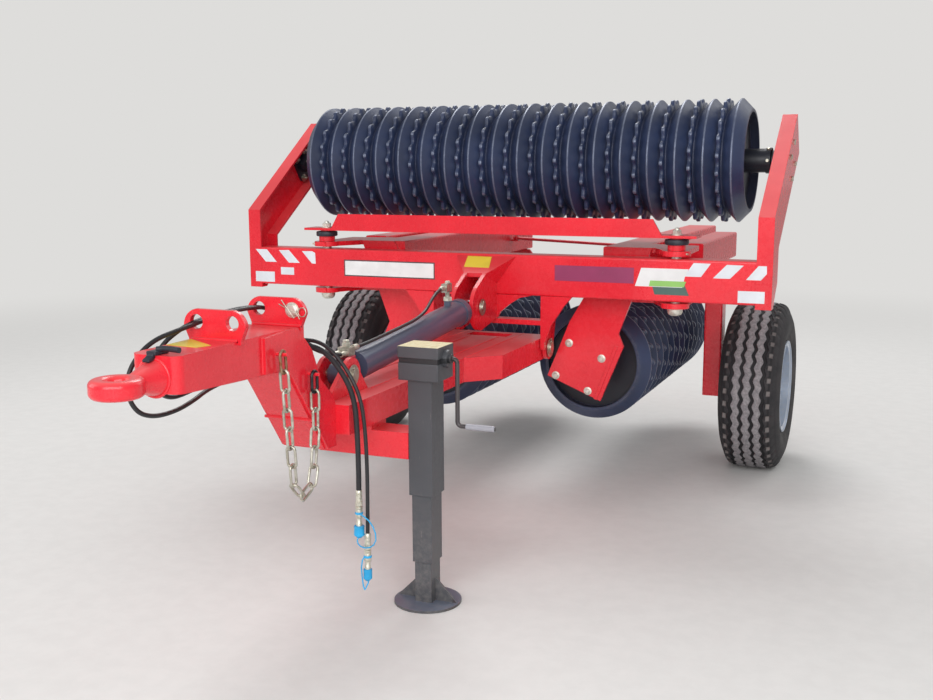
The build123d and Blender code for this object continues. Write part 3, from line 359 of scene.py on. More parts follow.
def enamel(name, shade, dust, gloss=0.24, edge=0.0025):
    """Sprayed enamel: uneven tone, orange peel, dust on top and small chips."""
    finish = Finish(name, Coat_Roughness=0.10, Coat_IOR=1.45)
    cloud, grain, speck = finish.noise(2.3, 4.0), finish.noise(34.0, 6.0, 0.7), finish.noise(190.0, 3.0, 0.6)
    streak = finish.noise(1.0, 5.0, 0.65, finish.stretched((26.0, 26.0, 5.0)))
    coat = finish.mix(cloud.above(0.3, 0.7), shaded(shade, 0.88), shaded(shade, 1.06, 0.006))
    coat = finish.mix(grain.above(0.42, 0.78) * 0.08, coat, shaded(shade, 0.7))
    lying = finish.facing_up().above(0.35, 0.97) * (0.07 + cloud.above(0.35, 0.7) * 0.06)
    coat = finish.mix(lying + streak.above(0.55, 0.85) * 0.02, coat, dust)
    chip = grain.above(0.76, 0.775) * speck.above(0.5, 0.56)
    coat = finish.mix(chip * 0.7, coat, linear(96, 60, 56))
    finish.set(Base_Color=coat, Roughness=gloss + grain.above(0.3, 0.8) * 0.10 + lying * 0.8 + chip * 0.3,
               Coat_Weight=0.40 - lying - chip * 0.3)
    finish.bump(speck * 0.5 + grain * 0.5 - chip * 1.5, 0.02, 0.0012, edge)
    return finish.material


def ring_paint(name, shade, dust, axes, centre):
    """Thin satin paint on cast rings: rough casting skin, tips worn bright and painted paler as the highlight
    lines of their edges, painted shade near black deep between the rings, and dust between the rings.
    """
    finish = Finish(name, Coat_Roughness=0.34, Specular_IOR_Level=0.45)
    cast, grain, cloud = finish.noise(150.0, 4.0, 0.6), finish.noise(48.0, 6.0, 0.7), finish.noise(5.0, 4.0)
    radius = finish.radius(*axes, centre)
    # Crests worn bright, and painted paler also as the thin highlight lines along the ring edges.
    worn = radius.above(ring_crest - 0.0022, ring_crest - 0.0004) * (0.45 + grain.above(0.3, 0.62) * 0.55)
    coat = finish.patchy(cloud, shade, 0.66)
    # Painted shade: near black deep between the rings, below their valleys.
    tube = 1 - radius.above(ring_valley - 0.018, ring_valley - 0.006)
    coat = finish.mix(tube * 0.85, coat, linear(17, 17, 21))
    coat = finish.mix(worn * 0.42, coat, linear(156, 164, 184))
    settled = (1 - radius.above(ring_valley - 0.003, ring_valley + 0.014)) \
        * radius.above(ring_valley - 0.012, ring_valley - 0.006) * grain.above(0.3, 0.7) * 0.07
    settled = settled + finish.facing_up().above(0.5, 1.0) * grain.above(0.45, 0.8) * 0.06
    coat = finish.mix(settled, coat, dust)
    rust = grain.above(0.72, 0.78) * cloud.above(0.45, 0.6)
    coat = finish.mix(rust * 0.2, coat, linear(112, 66, 44))
    finish.set(Base_Color=coat, Roughness=0.40 + grain.above(0.3, 0.8) * 0.14 - worn * 0.08 + rust * 0.3,
               Metallic=worn * 0.4, Coat_Weight=0.22 - settled - rust * 0.2)
    finish.bump(cast + grain * 0.6, 0.10, 0.0014, 0.0015)
    return finish.material


def jack_coat(shade, dust):
    """Dark satin coat, scuffed, with the lid's pale label film, painted shade in the groove under the cover,
    a painted bluish sky reflection on the foot plate's top, and dust near the bottom.
    """
    finish = Finish("jack coat", Coat_Roughness=0.3)
    height, grain, cloud = finish.axis("Z"), finish.noise(60.0, 6.0, 0.7), finish.noise(6.0, 4.0)
    scratch = finish.noise(1.0, 4.0, 0.6, finish.stretched((160.0, 160.0, 12.0)))
    coat = finish.patchy(cloud, shade)
    lid = height.above(jack_top_z - 0.0010, jack_top_z - 0.0005) * finish.facing_up().above(0.6, 0.9)
    tan = finish.mix(grain.above(0.35, 0.6), linear(242, 236, 192), linear(222, 210, 158))
    coat = finish.mix(lid * 0.95, coat, tan)
    # Painted shade: the recessed groove between the cover and the body, painted near black.
    coat = finish.mix(height.within(*jack_groove, 0.0010) * 0.8, coat, linear(16, 16, 20))
    crank = finish.axis("X").above(jack_x + 0.086, jack_x + 0.090)
    coat = finish.mix(crank * 0.5, coat, linear(58, 44, 42))
    # Painted reflection: the foot plate's top faces tinted bluish, as if they mirrored the sky.
    foot = (1 - height.above(0.006, 0.030)) * finish.facing_up().above(0.4, 0.9)
    coat = finish.mix(foot * 0.5, coat, linear(112, 124, 148))
    scuff = scratch.above(0.66, 0.72) * grain.above(0.4, 0.6)
    coat = finish.mix(scuff * 0.35, coat, linear(150, 146, 142))
    film = (1 - height.above(0.05, 0.45)) * grain.above(0.35, 0.75) * 0.16
    coat = finish.mix(film, coat, dust)
    finish.set(Base_Color=coat, Roughness=0.40 + grain.above(0.3, 0.8) * 0.15 + film, Coat_Weight=0.25 - film)
    finish.bump(grain * 0.6 + scratch * 0.3 - scuff, 0.08, 0.0012, 0.0018)
    return finish.material


def barrel_paint(shade, dust):
    """Dark blue-grey paint with dust on top, and the bare metal of the port block and the elbow."""
    finish = Finish("barrel paint", Coat_Roughness=0.08)
    grain, speck, cloud = finish.noise(70.0, 5.0, 0.65), finish.noise(240.0, 2.0), finish.noise(4.0, 3.0)
    lying = finish.facing_up().above(0.5, 1.0) * 0.05
    coat = finish.mix(lying, finish.patchy(cloud, shade), dust)
    block_half = 0.021
    port = finish.axis("X").within(-block_half, block_half) \
        * finish.axis("Y").within(front_port_y - block_half, front_port_y + block_half) \
        * finish.axis("Z").above(0.788, 0.789)
    elbow = finish.axis("Z").above(0.884, 0.886)
    bare = (port + elbow).maths("MINIMUM", 1.0)
    plated = finish.mix(grain.above(0.4, 0.6), linear(190, 188, 176), linear(154, 150, 138))
    coat = finish.mix(bare, coat, plated)
    finish.set(Base_Color=coat, Roughness=0.30 + grain.above(0.3, 0.8) * 0.06 + lying, Metallic=bare * 0.7,
               Coat_Weight=0.35 - lying - bare * 0.3)
    finish.bump(speck * 0.5 + cloud * 0.5, 0.01, 0.001, 0.0015)
    return finish.material


def metal(name, shade, dark, rough, spangle=70.0, stain=None):
    """Plated or bare metal: patches of tone, fine scratches and stains."""
    finish = Finish(name, Metallic=1.0)
    patch = finish.node("ShaderNodeTexVoronoi", {}, {"Vector": finish.place, "Scale": spangle},
                        output="Color")
    tone = finish.node("ShaderNodeSeparateColor", {}, {"Color": patch})
    grain = finish.noise(130.0, 6.0, 0.7)
    coat = finish.mix(tone * 0.5 + grain * 0.4, linear(*dark), linear(*shade))
    if stain:
        coat = finish.mix(finish.noise(55.0, 6.0, 0.72).above(0.50, 0.62) * 0.8, coat, linear(*stain))
    finish.set(Base_Color=coat, Roughness=rough + grain.above(0.3, 0.8) * 0.2 + tone * 0.06)
    finish.bump(grain + tone * 0.2, 0.12, 0.0008, 0.001)
    return finish.material


def chrome():
    """Polished rod with faint marks along it."""
    finish = Finish("chrome", Metallic=1.0)
    mark = finish.noise(1.0, 5.0, 0.6, finish.stretched((220.0, 9.0, 220.0)))
    oil = finish.noise(16.0, 4.0)
    coat = finish.mix(oil.above(0.4, 0.7), linear(222, 224, 228), linear(184, 184, 180))
    finish.set(Base_Color=coat, Roughness=0.07 + mark.above(0.45, 0.8) * 0.12 + oil.above(0.5, 0.8) * 0.08)
    finish.bump(mark, 0.03, 0.0004)
    return finish.material


def rubber(dust, waves):
    """Tyre rubber: road-worn ribs, grooves darkened with painted shade, pale dimples on the shoulders and
    brownish sidewalls.
    """
    finish = Finish("tyre rubber", Specular_IOR_Level=0.35)
    radius = finish.radius("Y", "Z", (wheel_y, wheel_z))
    offset = (finish.axis("X").maths("ABSOLUTE") - wheel_x).maths("ABSOLUTE")
    grain, cloud, speck = finish.noise(85.0, 6.0, 0.7), finish.noise(9.0, 5.0, 0.6), finish.noise(420.0, 2.0)
    side = finish.mix(cloud.above(0.35, 0.7), linear(42, 41, 44), linear(58, 55, 57))
    ground = radius.above(tyre_radius - 0.0075, tyre_radius - 0.0055) * (1 - offset.above(0.066, 0.072))
    worn = finish.mix(grain.above(0.3, 0.72), linear(112, 108, 112), linear(152, 148, 150))
    coat = finish.mix(ground, side, worn)
    # Painted shade: the grooves' floors and the shoulders' notches, darker than the rubber itself.
    groove = radius.within(tyre_radius - 0.040, tyre_radius - 0.0078, 0.0012) \
        * (1 - offset.above(0.095, 0.102))
    coat = finish.mix(groove * 0.75, coat, linear(26, 25, 28))
    turn = (finish.axis("Z") - wheel_z).maths("ARCTAN2", finish.axis("Y") - wheel_y) * (waves / math.tau)
    dimple = offset.within(0.086, 0.096, 0.005) * turn.maths("FRACT").within(0.28, 0.54, 0.12)
    coat = finish.mix(dimple * 0.5, coat, linear(158, 150, 148))
    film = (1 - radius.above(0.20, 0.33)) * cloud.above(0.3, 0.7) * 0.08 + grain.above(0.5, 0.85) * 0.06
    coat = finish.mix(film, coat, dust)
    finish.set(Base_Color=coat, Roughness=0.66 + grain.above(0.3, 0.8) * 0.2)
    rings = (radius * 1500.0).maths("SINE") * offset.above(0.105, 0.118)
    finish.bump(speck * 0.4 + grain * 0.8 + rings * 0.25, 0.25, 0.0014)
    return finish.material


def rim_lacquer(shade, dust):
    """Pale blue-silver lacquer with road dust towards the tyre."""
    finish = Finish("rim lacquer", Coat_Roughness=0.12)
    radius = finish.radius("Y", "Z", (wheel_y, wheel_z))
    grain, cloud, flake = finish.noise(60.0, 6.0, 0.7), finish.noise(8.0, 4.0), finish.noise(900.0, 1.0)
    outer, inner = radius.above(0.150, 0.196) * 0.35, (1 - radius.above(0.055, 0.075)) * 0.3
    dirt = (outer + inner) * grain.above(0.35, 0.75)
    coat = finish.mix(dirt, finish.patchy(cloud, shade), dust)
    coat = finish.mix(grain.above(0.72, 0.74) * 0.6, coat, linear(90, 84, 80))
    finish.set(Base_Color=coat, Roughness=0.30 + dirt * 0.6 + flake.above(0.3, 0.8) * 0.06,
               Metallic=0.45 - dirt * 0.6, Coat_Weight=0.4 - dirt)
    finish.bump(grain * 0.6 + flake * 0.3, 0.10, 0.001, 0.002)
    return finish.material


def soft_skin(name, shade, rough, weave=0.0, fade=(150, 150, 152)):
    """Rubber or plastic skin, faded in patches, with the wrap marks of a hose if it has them."""
    finish = Finish(name, Specular_IOR_Level=0.5)
    grain, cloud = finish.noise(160.0, 5.0, 0.7), finish.noise(20.0, 4.0)
    coat = finish.mix(cloud.above(0.3, 0.75) * 0.5, shade, shaded(shade, 1.5, 0.006))
    coat = finish.mix(grain.above(0.6, 0.8) * 0.16, coat, linear(*fade))
    finish.set(Base_Color=coat, Roughness=rough + grain.above(0.3, 0.8) * 0.15)
    wrap = finish.node("ShaderNodeTexWave", {"wave_type": "BANDS", "bands_direction": "DIAGONAL"},
                       {"Vector": finish.place, "Scale": 160.0, "Distortion": 0.6})
    finish.bump(grain + wrap * weave, 0.15, 0.0007)
    return finish.material


def film(name, shade):
    """A stuck-on sign or reflector: plastic film with fine cells and scuffs."""
    finish = Finish(name, Coat_Roughness=0.15)
    cells = finish.node("ShaderNodeTexVoronoi", {}, {"Vector": finish.place, "Scale": 420.0},
                        output="Distance")
    grain, cloud = finish.noise(90.0, 6.0, 0.7), finish.noise(12.0, 3.0)
    scuff = grain.above(0.62, 0.74) * 0.30
    coat = finish.mix(scuff, finish.patchy(cloud, shade, 0.88), linear(150, 140, 136))
    finish.set(Base_Color=coat, Roughness=0.36 + grain.above(0.3, 0.8) * 0.15, Coat_Weight=0.3 - grain * 0.2)
    finish.bump(cells * 0.5 + grain * 0.5, 0.08, 0.0006)
    return finish.material


# Films of the signs and reflectors, by their colours on a screen
films = {"reflector film": (226, 230, 236), "white sign": (236, 236, 236), "sign border": (74, 66, 70),
         "yellow sign": (236, 214, 72), "violet sign": (150, 52, 96), "grey sign": (74, 104, 98),
         "green sign": (150, 204, 106)}


class ROLLER_OT_finishes(bpy.types.Operator):
    """Make the finishes and give each CAD node its own"""
    bl_idname = "roller.finishes"
    bl_label = "Finishes"

    def execute(self, context):
        shades = context.scene.roller_colours
        red, dust = shaded(shades.paint), shaded(shades.dust)
        finishes.update({
            "red": enamel("red enamel", red, dust),
            "weld": enamel("painted weld", red, dust, 0.30, 0.0),
            "grey": jack_coat(shaded(shades.jack), dust),
            "barrel": barrel_paint(shaded(shades.barrel), dust),
            "chrome": chrome(),
            "zinc": metal("zinc", (226, 224, 214), (166, 160, 142), 0.30),
            "pale zinc": metal("pale zinc", (244, 242, 234), (206, 202, 190), 0.42),
            "cream zinc": metal("yellow zinc", (240, 238, 226), (200, 196, 178), 0.38, 110.0),
            "grip": soft_skin("grip plastic", linear(150, 150, 158), 0.36, fade=(196, 196, 204)),
            "rusty": metal("rusty zinc", (196, 176, 150), (128, 84, 52), 0.5, 60.0, (146, 74, 34)),
            "dark steel": metal("dark steel", (84, 84, 88), (44, 44, 48), 0.34, 90.0),
            "tyre": rubber(dust, context.scene.roller_details.tread_waves),
            "rim": rim_lacquer(shaded(shades.rim), dust),
            "hose": soft_skin("hose rubber", linear(30, 30, 33), 0.36, 0.5),
            "guard": soft_skin("guard rubber", linear(34, 34, 38), 0.62, 0.3),
            "black rubber": soft_skin("black rubber", linear(34, 38, 48), 0.42, fade=(120, 126, 140)),
            "cap": soft_skin("cap plastic", shaded(shades.caps), 0.34, fade=(150, 205, 232)),
            "seal": soft_skin("red seal", linear(170, 34, 58), 0.4, fade=(214, 120, 130)),
            **{name: film(name, linear(*shade)) for name, shade in films.items()},
        })
        by_node = {}
        for name, axes, centre in (("top", "YZ", (top_roller_y, top_roller_z)),
                                   ("right", "XZ", (roller_x, roller_z)),
                                   ("left", "XZ", (-roller_x, roller_z))):
            finish = f"roller {name}"
            finishes[finish] = ring_paint(f"ring paint {name}", shaded(shades.rings), dust, axes, centre)
            by_node.update({f"{form}_{name}": finish for form in ("rings", "stars", "shaft")})
        finishes["black"] = finishes["roller top"]
        slots = {part["node"]: part["material_slot"] for part in frame["record"]["subparts"]}
        for node, thing in frame["nodes"].items():
            thing.data.materials.clear()
            thing.data.materials.append(finishes[by_node.get(node, slots[node])])
        return {"FINISHED"}


# Lamps: name, place, width and height in metres, and power in watts
lamps = (("key", (-1.6, 4.2, 6.4), 3.6, 3.6, 260), ("front", (2.2, -6.6, 3.4), 8.0, 4.4, 400),
         ("left", (-5.5, -3.0, 3.0), 4.0, 4.0, 80), ("rear", (4.0, 5.5, 4.5), 4.0, 4.0, 70))
lamp_aim = (0.0, 0.0, 0.7)


class ROLLER_OT_stage(bpy.types.Operator):
    """Make the camera, the floor and the lights"""
    bl_idname = "roller.stage"
    bl_label = "Camera and floor"

    def execute(self, context):
        stage = context.scene.roller_stage
        context.scene.view_settings.view_transform = "Standard"
        self.camera(context, stage)
        self.ground(context, shaded(stage.floor))
        self.sky(context, shaded(stage.floor))
        for name, place, width, height, power in lamps:
            lamp = bpy.data.lights.new(name, "AREA")
            lamp.shape, lamp.size, lamp.size_y, lamp.energy = "RECTANGLE", width, height, power
            thing = bpy.data.objects.new(name, lamp)
            context.collection.objects.link(thing)
            thing.location = place
            thing.rotation_euler = (Vector(lamp_aim) - Vector(place)).to_track_quat("-Z", "Y").to_euler()
        return {"FINISHED"}

    def camera(self, context, stage):
        turn, down, roll = stage.aim
        lens = bpy.data.cameras.new("camera")
        lens.lens, lens.sensor_width = stage.lens, 36.0
        camera = bpy.data.objects.new("camera", lens)
        context.collection.objects.link(camera)
        camera.matrix_world = (Matrix.Translation(Vector(stage.eye)) @ Matrix.Rotation(turn, 4, "Z")
                               @ Matrix.Rotation(math.pi / 2 - down, 4, "X") @ Matrix.Rotation(roll, 4, "Z"))
        context.scene.camera = camera

    def ground(self, context, shade):
        """Pale ground near the machine that fades into what is behind it."""
        reach = 60.0
        floor = bpy.data.meshes.new("floor")
        corners = [(-reach, -reach, 0), (reach, -reach, 0), (reach, reach, 0), (-reach, reach, 0)]
        floor.from_pydata(corners, [], [(0, 1, 2, 3)])
        thing = bpy.data.objects.new("floor", floor)
        context.collection.objects.link(thing)
        finish = Finish("floor", Roughness=0.85)
        finish.set(Base_Color=finish.patchy(finish.noise(14.0, 6.0, 0.6), shade, 0.96))
        away = finish.radius("X", "Y", (0.0, 0.0)).above(3.2, 9.0)
        seen = finish.node("ShaderNodeLightPath", output="Is Camera Ray")
        glow = finish.node("ShaderNodeEmission", {}, {"Color": shade})
        cover = finish.node("ShaderNodeMixShader", {}, {0: away * seen, 2: glow,
                                                        1: Wire(finish, finish.shader.outputs[0])})
        finish.connect(finish.nodes["Material Output"].inputs["Surface"], cover)
        floor.materials.append(finish.material)

    def sky(self, context, shade):
        """Soft white light from all round, and a plain pale backdrop where the camera looks at it."""
        world = bpy.data.worlds.new("sky")
        context.scene.world = world
        world.use_nodes = True
        tree = world.node_tree
        light = tree.nodes["Background"]
        light.inputs["Color"].default_value = (1, 1, 1, 1)
        light.inputs["Strength"].default_value = 0.42
        backdrop = tree.nodes.new("ShaderNodeBackground")
        backdrop.inputs["Color"].default_value = shade
        path, mixer = tree.nodes.new("ShaderNodeLightPath"), tree.nodes.new("ShaderNodeMixShader")
        tree.links.new(path.outputs["Is Camera Ray"], mixer.inputs[0])
        tree.links.new(light.outputs[0], mixer.inputs[1])
        tree.links.new(backdrop.outputs[0], mixer.inputs[2])
        tree.links.new(mixer.outputs[0], tree.nodes["World Output"].inputs["Surface"])


# Hoses: X, Y and Z of each place that a hose is drawn through, in metres
hose_right_places = (
    (0.012, -0.9699, 0.798), (0.012, -1.014, 0.798), (-0.020, -1.089, 0.826), (-0.054, -1.169, 0.885),
    (-0.054, -1.239, 0.948), (-0.047, -1.309, 0.986), (-0.047, -1.464, 0.996), (-0.047, -1.614, 0.986),
    (-0.052, -1.700, 0.975), (-0.082, -1.787, 0.955), (-0.096, -1.851, 0.903), (-0.092, -1.877, 0.845),
    (-0.082, -1.856, 0.788), (-0.068, -1.808, 0.767), (-0.054, -1.738, 0.769), (-0.060, -1.654, 0.780),
    (-0.088, -1.564, 0.786), (-0.108, -1.464, 0.788), (-0.110, -1.354, 0.796), (-0.108, -1.254, 0.818),
    (-0.072, -1.176, 0.842), (-0.008, -1.154, 0.853), (0.048, -1.154, 0.833), (0.104, -1.154, 0.772),
    (0.139, -1.154, 0.700), (0.146, -1.154, 0.600), (0.148, -1.154, 0.490), (0.147, -1.154, 0.389))
hose_left_places = (
    (-0.012, -0.9699, 0.798), (-0.012, -1.014, 0.798), (-0.042, -1.082, 0.826), (-0.076, -1.164, 0.885),
    (-0.072, -1.237, 0.948), (-0.063, -1.307, 0.986), (-0.063, -1.464, 0.996), (-0.063, -1.614, 0.986),
    (-0.072, -1.679, 0.972), (-0.098, -1.729, 0.935), (-0.108, -1.754, 0.880), (-0.110, -1.744, 0.820),
    (-0.110, -1.689, 0.785), (-0.110, -1.599, 0.790), (-0.112, -1.474, 0.808), (-0.112, -1.354, 0.816),
    (-0.112, -1.249, 0.838), (-0.076, -1.176, 0.862), (-0.003, -1.154, 0.871), (0.057, -1.154, 0.850),
    (0.117, -1.154, 0.786), (0.160, -1.154, 0.706), (0.173, -1.154, 0.606), (0.177, -1.154, 0.490),
    (0.176, -1.154, 0.372), (0.174, -1.154, 0.256))
barrel_hose_places = (
    (0.000, -0.189, 0.922), (0.000, -0.231, 0.922), (0.008, -0.309, 0.900), (0.018, -0.389, 0.862),
    (0.022, -0.479, 0.843), (0.022, -0.594, 0.833), (0.022, -0.724, 0.824), (0.021, -0.824, 0.816),
    (0.012, -0.884, 0.810), (0.012, -0.929, 0.810))
guard_start = 19

# Straps of the dust caps, from the coupling's ring to the cap's tip
cap_straps = {
    "right": ((0.1550, -1.166, 0.352), (0.170, -1.169, 0.346), (0.188, -1.170, 0.335), (0.202, -1.171, 0.318),
              (0.210, -1.171, 0.298), (0.211, -1.171, 0.278), (0.203, -1.170, 0.262), (0.190, -1.170, 0.252),
              (0.173, -1.169, 0.2475), (0.157, -1.167, 0.2495), (0.146, -1.164, 0.256),
              (0.142, -1.160, 0.266), (0.1455, -1.155, 0.277)),
    "left": ((0.1680, -1.163, 0.219), (0.161, -1.166, 0.206), (0.158, -1.167, 0.184), (0.1595, -1.167, 0.156),
             (0.162, -1.166, 0.132), (0.1645, -1.165, 0.1175), (0.1662, -1.164, 0.1125),
             (0.1690, -1.163, 0.117), (0.1722, -1.160, 0.126), (0.1748, -1.157, 0.133),
             (0.1752, -1.154, 0.142))}

# How far along a hose's end and how far out: crimped sleeve, then the parts of a coupling and its dust cap
sleeve_profile = ((-0.001, 0.0060), (0.0, 0.0098), (0.006, 0.0100), (0.007, 0.0092), (0.010, 0.0092),
                  (0.011, 0.0100), (0.015, 0.0100), (0.016, 0.0092), (0.019, 0.0092), (0.020, 0.0100),
                  (0.030, 0.0094), (0.034, 0.0066))
crimp_profile = ((-0.034, 0.0066), (-0.030, 0.0094), (-0.022, 0.0098), (-0.021, 0.0090), (-0.017, 0.0090),
                 (-0.016, 0.0098), (-0.010, 0.0098), (-0.009, 0.0090), (-0.005, 0.0090), (-0.004, 0.0098),
                 (0.002, 0.0098), (0.004, 0.0072))
hexagon_profile = ((0.003, 0.0100), (0.004, 0.0112), (0.016, 0.0112), (0.017, 0.0100))
neck_profile = ((0.016, 0.0070), (0.020, 0.0070))
slide_profile = ((0.018, 0.0088), (0.020, 0.0108), (0.026, 0.0108), (0.027, 0.0101), (0.030, 0.0101),
                 (0.031, 0.0108), (0.034, 0.0101), (0.035, 0.0108), (0.038, 0.0101), (0.039, 0.0108),
                 (0.052, 0.0108), (0.054, 0.0096))
stub_profile = ((0.054, 0.0078), (0.066, 0.0078), (0.068, 0.0090), (0.084, 0.0090))
cap_profile = ((-0.001, 0.0092), (0.0, 0.0118), (0.004, 0.0121), (0.006, 0.0116), (0.024, 0.0118),
               (0.027, 0.0121), (0.030, 0.0112), (0.033, 0.0080), (0.036, 0.0060), (0.038, 0.0036))
cap_width = {"right": 1.34, "left": 1.14}
cap_start = 0.080


def hose(name, places, size, body):
    """A hose as one smooth spline through its places."""
    curve = bpy.data.curves.new(name, "CURVE")
    curve.dimensions = "3D"
    curve.bevel_depth, curve.bevel_resolution, curve.resolution_u = size / 2, 5, 10
    curve.use_fill_caps = True
    spline = curve.splines.new("NURBS")
    spline.points.add(len(places) - 1)
    for point, place in zip(spline.points, places):
        point.co = (*place, 1.0)
    spline.order_u = 3
    spline.use_endpoint_u = True
    thing = bpy.data.objects.new(name, curve)
    bpy.context.collection.objects.link(thing)
    curve.materials.append(finishes["hose"])
    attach(thing, body)
    return thing


def sleeve(name, place, towards, body):
    """Crimped sleeve and swivel nut at a hose's end."""
    form = Form()
    form.turned(place, Vector(towards) - Vector(place), sleeve_profile, 24)
    return form.build(name, "zinc", body, "zinc")


class ROLLER_OT_hoses(bpy.types.Operator):
    """Make the hoses, their couplings and blue dust caps"""
    bl_idname = "roller.hoses"
    bl_label = "Hoses"

    def execute(self, context):
        size = context.scene.roller_details.hose_size
        for side, places, length in (("right", hose_right_places, 2.433), ("left", hose_left_places, 2.312)):
            thing = hose(f"hydraulic_hose_{side}", places, size, "drawbar")
            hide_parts(f"hose_{side}")
            end = Vector(places[-1])
            down = (end - Vector(places[-2])).normalized()
            start = sleeve(f"hose_sleeve_{side}", places[0], places[1], "drawbar")
            coupling = self.coupling(side, end, down)
            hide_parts(f"coupling_{side}")
            pieces = [start, coupling, self.cap(side, end + down * cap_start, down),
                      self.strap(side, end, down)]
            if side == "right":
                pieces.append(self.guard(side, [Vector(place) for place in places[guard_start:]]))
        link = hose("cylinder_hose", barrel_hose_places, size, "cylinder_barrel")
        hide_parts("barrel_hose")
        ends = [sleeve("cylinder_hose_sleeve_rear", *barrel_hose_places[:2], "cylinder_barrel"),
                sleeve("cylinder_hose_sleeve_front", *barrel_hose_places[:-3:-1], "cylinder_barrel")]
        self.port_fittings()
        return {"FINISHED"}

    def coupling(self, side, place, along):
        """Crimp, hexagon, sliding sleeve and stub of a quick coupling."""
        form = Form()
        for profile, steps in ((crimp_profile, 24), (hexagon_profile, 6), (neck_profile, 24),
                               (slide_profile, 32), (stub_profile, 24)):
            form.turned(place, along, profile, steps)
        return form.build(f"quick_coupling_{side}", "cream zinc", "drawbar", "zinc")

    def cap(self, side, place, along):
        """Blue dust cap with a grip bead and a waist."""
        form = Form()
        form.turned(place, along, [(far, out * cap_width[side]) for far, out in cap_profile], 28)
        return form.build(f"dust_cap_{side}", "cap", "drawbar", "hose")

    def strap(self, side, place, along):
        """Thin strap of the dust cap, with the ring that holds it on the coupling."""
        form = Form()
        form.tube(cap_straps[side], 0.0021, 8)
        form.turned(place, along, [(0.036, 0.0110), (0.037, 0.0124), (0.042, 0.0124), (0.043, 0.0110)], 28)
        return form.build(f"cap_strap_{side}", "cap", "drawbar", "hose", sharp=60.0)

    def guard(self, side, places):
        """Thick rubber guard over the hanging part of a hose, along the hose's own spline."""
        line, pieces = [], 6
        for before, place, after in zip(places, places[1:], places[2:]):
            first, last = before.lerp(place, 0.5), place.lerp(after, 0.5)
            for share in (step / pieces for step in range(pieces)):
                line.append(first.lerp(place, share).lerp(place.lerp(last, share), share))
        line.append(places[-1] + (places[-2] - places[-1]).normalized() * 0.031)
        form = Form()
        form.tube(line, 0.0080, 16)
        return form.build(f"hose_guard_{side}", "guard", "drawbar", "hose", sharp=60.0)

    def port_fittings(self):
        """Unions on the front port and the rear one's elbow, and a red seal ring."""
        form = Form()
        for y, z, width in ((front_port_y, 0.816, 0.026), (front_port_y, 0.828, 0.020),
                            (rear_port_y, 0.871, 0.030), (rear_port_y, 0.938, 0.018)):
            form.bolt((0.0, y, z), to_top, width, washer=False)
        form.build("port_unions", "cream zinc", "cylinder_barrel", "zinc")
        seal = Form()
        seal.turned((0.0, front_port_y, 0.7805), to_top,
                    [(0.0, 0.0285), (0.001, 0.0298), (0.007, 0.0298), (0.008, 0.0285)], 32)
        seal.build("port_seal", "seal", "cylinder_barrel", "hose")


# Safety chain: Y and Z of the corners it hangs through, the radius of its bends, and its links
chain_x = middle("safety_chain").x
chain_corners = ((-1.475, 0.888), (-1.456, 0.690), (-1.436, 0.505), (-1.386, 0.452), (-1.336, 0.500),
                 (-1.312, 0.660), (-1.313, 0.805))
chain_bend = 0.040
chain_links = 15
link_half_width = 0.017
link_overlap = 0.0083


class ROLLER_OT_chain(bpy.types.Operator):
    """Replace the safety chain with round wire links and a dark joining link"""
    bl_idname = "roller.chain"
    bl_label = "Safety chain"

    def execute(self, context):
        wire = context.scene.roller_details.link_wire / 2
        route = self.route()
        pitch = sum((after - before).length for before, after in zip(route, route[1:])) / chain_links
        names = {"zinc": "chain_links", "rusty": "chain_end_link", "dark steel": "chain_joining_link"}
        forms = {finish: Form() for finish in names}
        for index in range(chain_links):
            centre, along = self.spot(route, pitch * (index + 0.5))
            wide = to_right if index % 2 else Vector((0, -along.z, along.y))
            finish, radius, grow = "zinc", wire, 0.0
            if index == 0:
                finish = "rusty"
            if index == chain_links - 1:
                finish, radius, grow = "dark steel", wire * 1.15, 0.002
            reach, out = pitch / 2 + link_overlap - radius, link_half_width - radius + grow
            line = []
            for turn, start in ((1, -90), (-1, 90)):
                line += arc(centre + along * turn * (reach - out), along, wide, out, start, start + 180, 10)
            forms[finish].tube(line, radius, 10, closed=True)
        for finish, form in forms.items():
            thing = form.build(names[finish], finish, "drawbar", "zinc", sharp=60.0)
            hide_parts("safety_chain")
        return {"FINISHED"}

    def route(self):
        """The line that the chain hangs along, with its corners rounded."""
        corners = [Vector((chain_x, y, z)) for y, z in chain_corners]
        line = [corners[0]]
        for before, corner, after in zip(corners, corners[1:], corners[2:]):
            first, second = (before - corner).normalized(), (after - corner).normalized()
            half = first.angle(second) / 2
            centre = corner + (first + second).normalized() * (chain_bend / math.sin(half))
            start = (corner + first * (chain_bend / math.tan(half)) - centre).normalized()
            stop = (corner + second * (chain_bend / math.tan(half)) - centre).normalized()
            line += [centre + start.slerp(stop, step / 6) * chain_bend for step in range(7)]
        return line + [corners[-1]]

    def spot(self, route, far):
        """Place and direction that far along the line."""
        for before, after in zip(route, route[1:]):
            if far <= (after - before).length:
                break
            far -= (after - before).length
        along = (after - before).normalized()
        return before + along * far, along


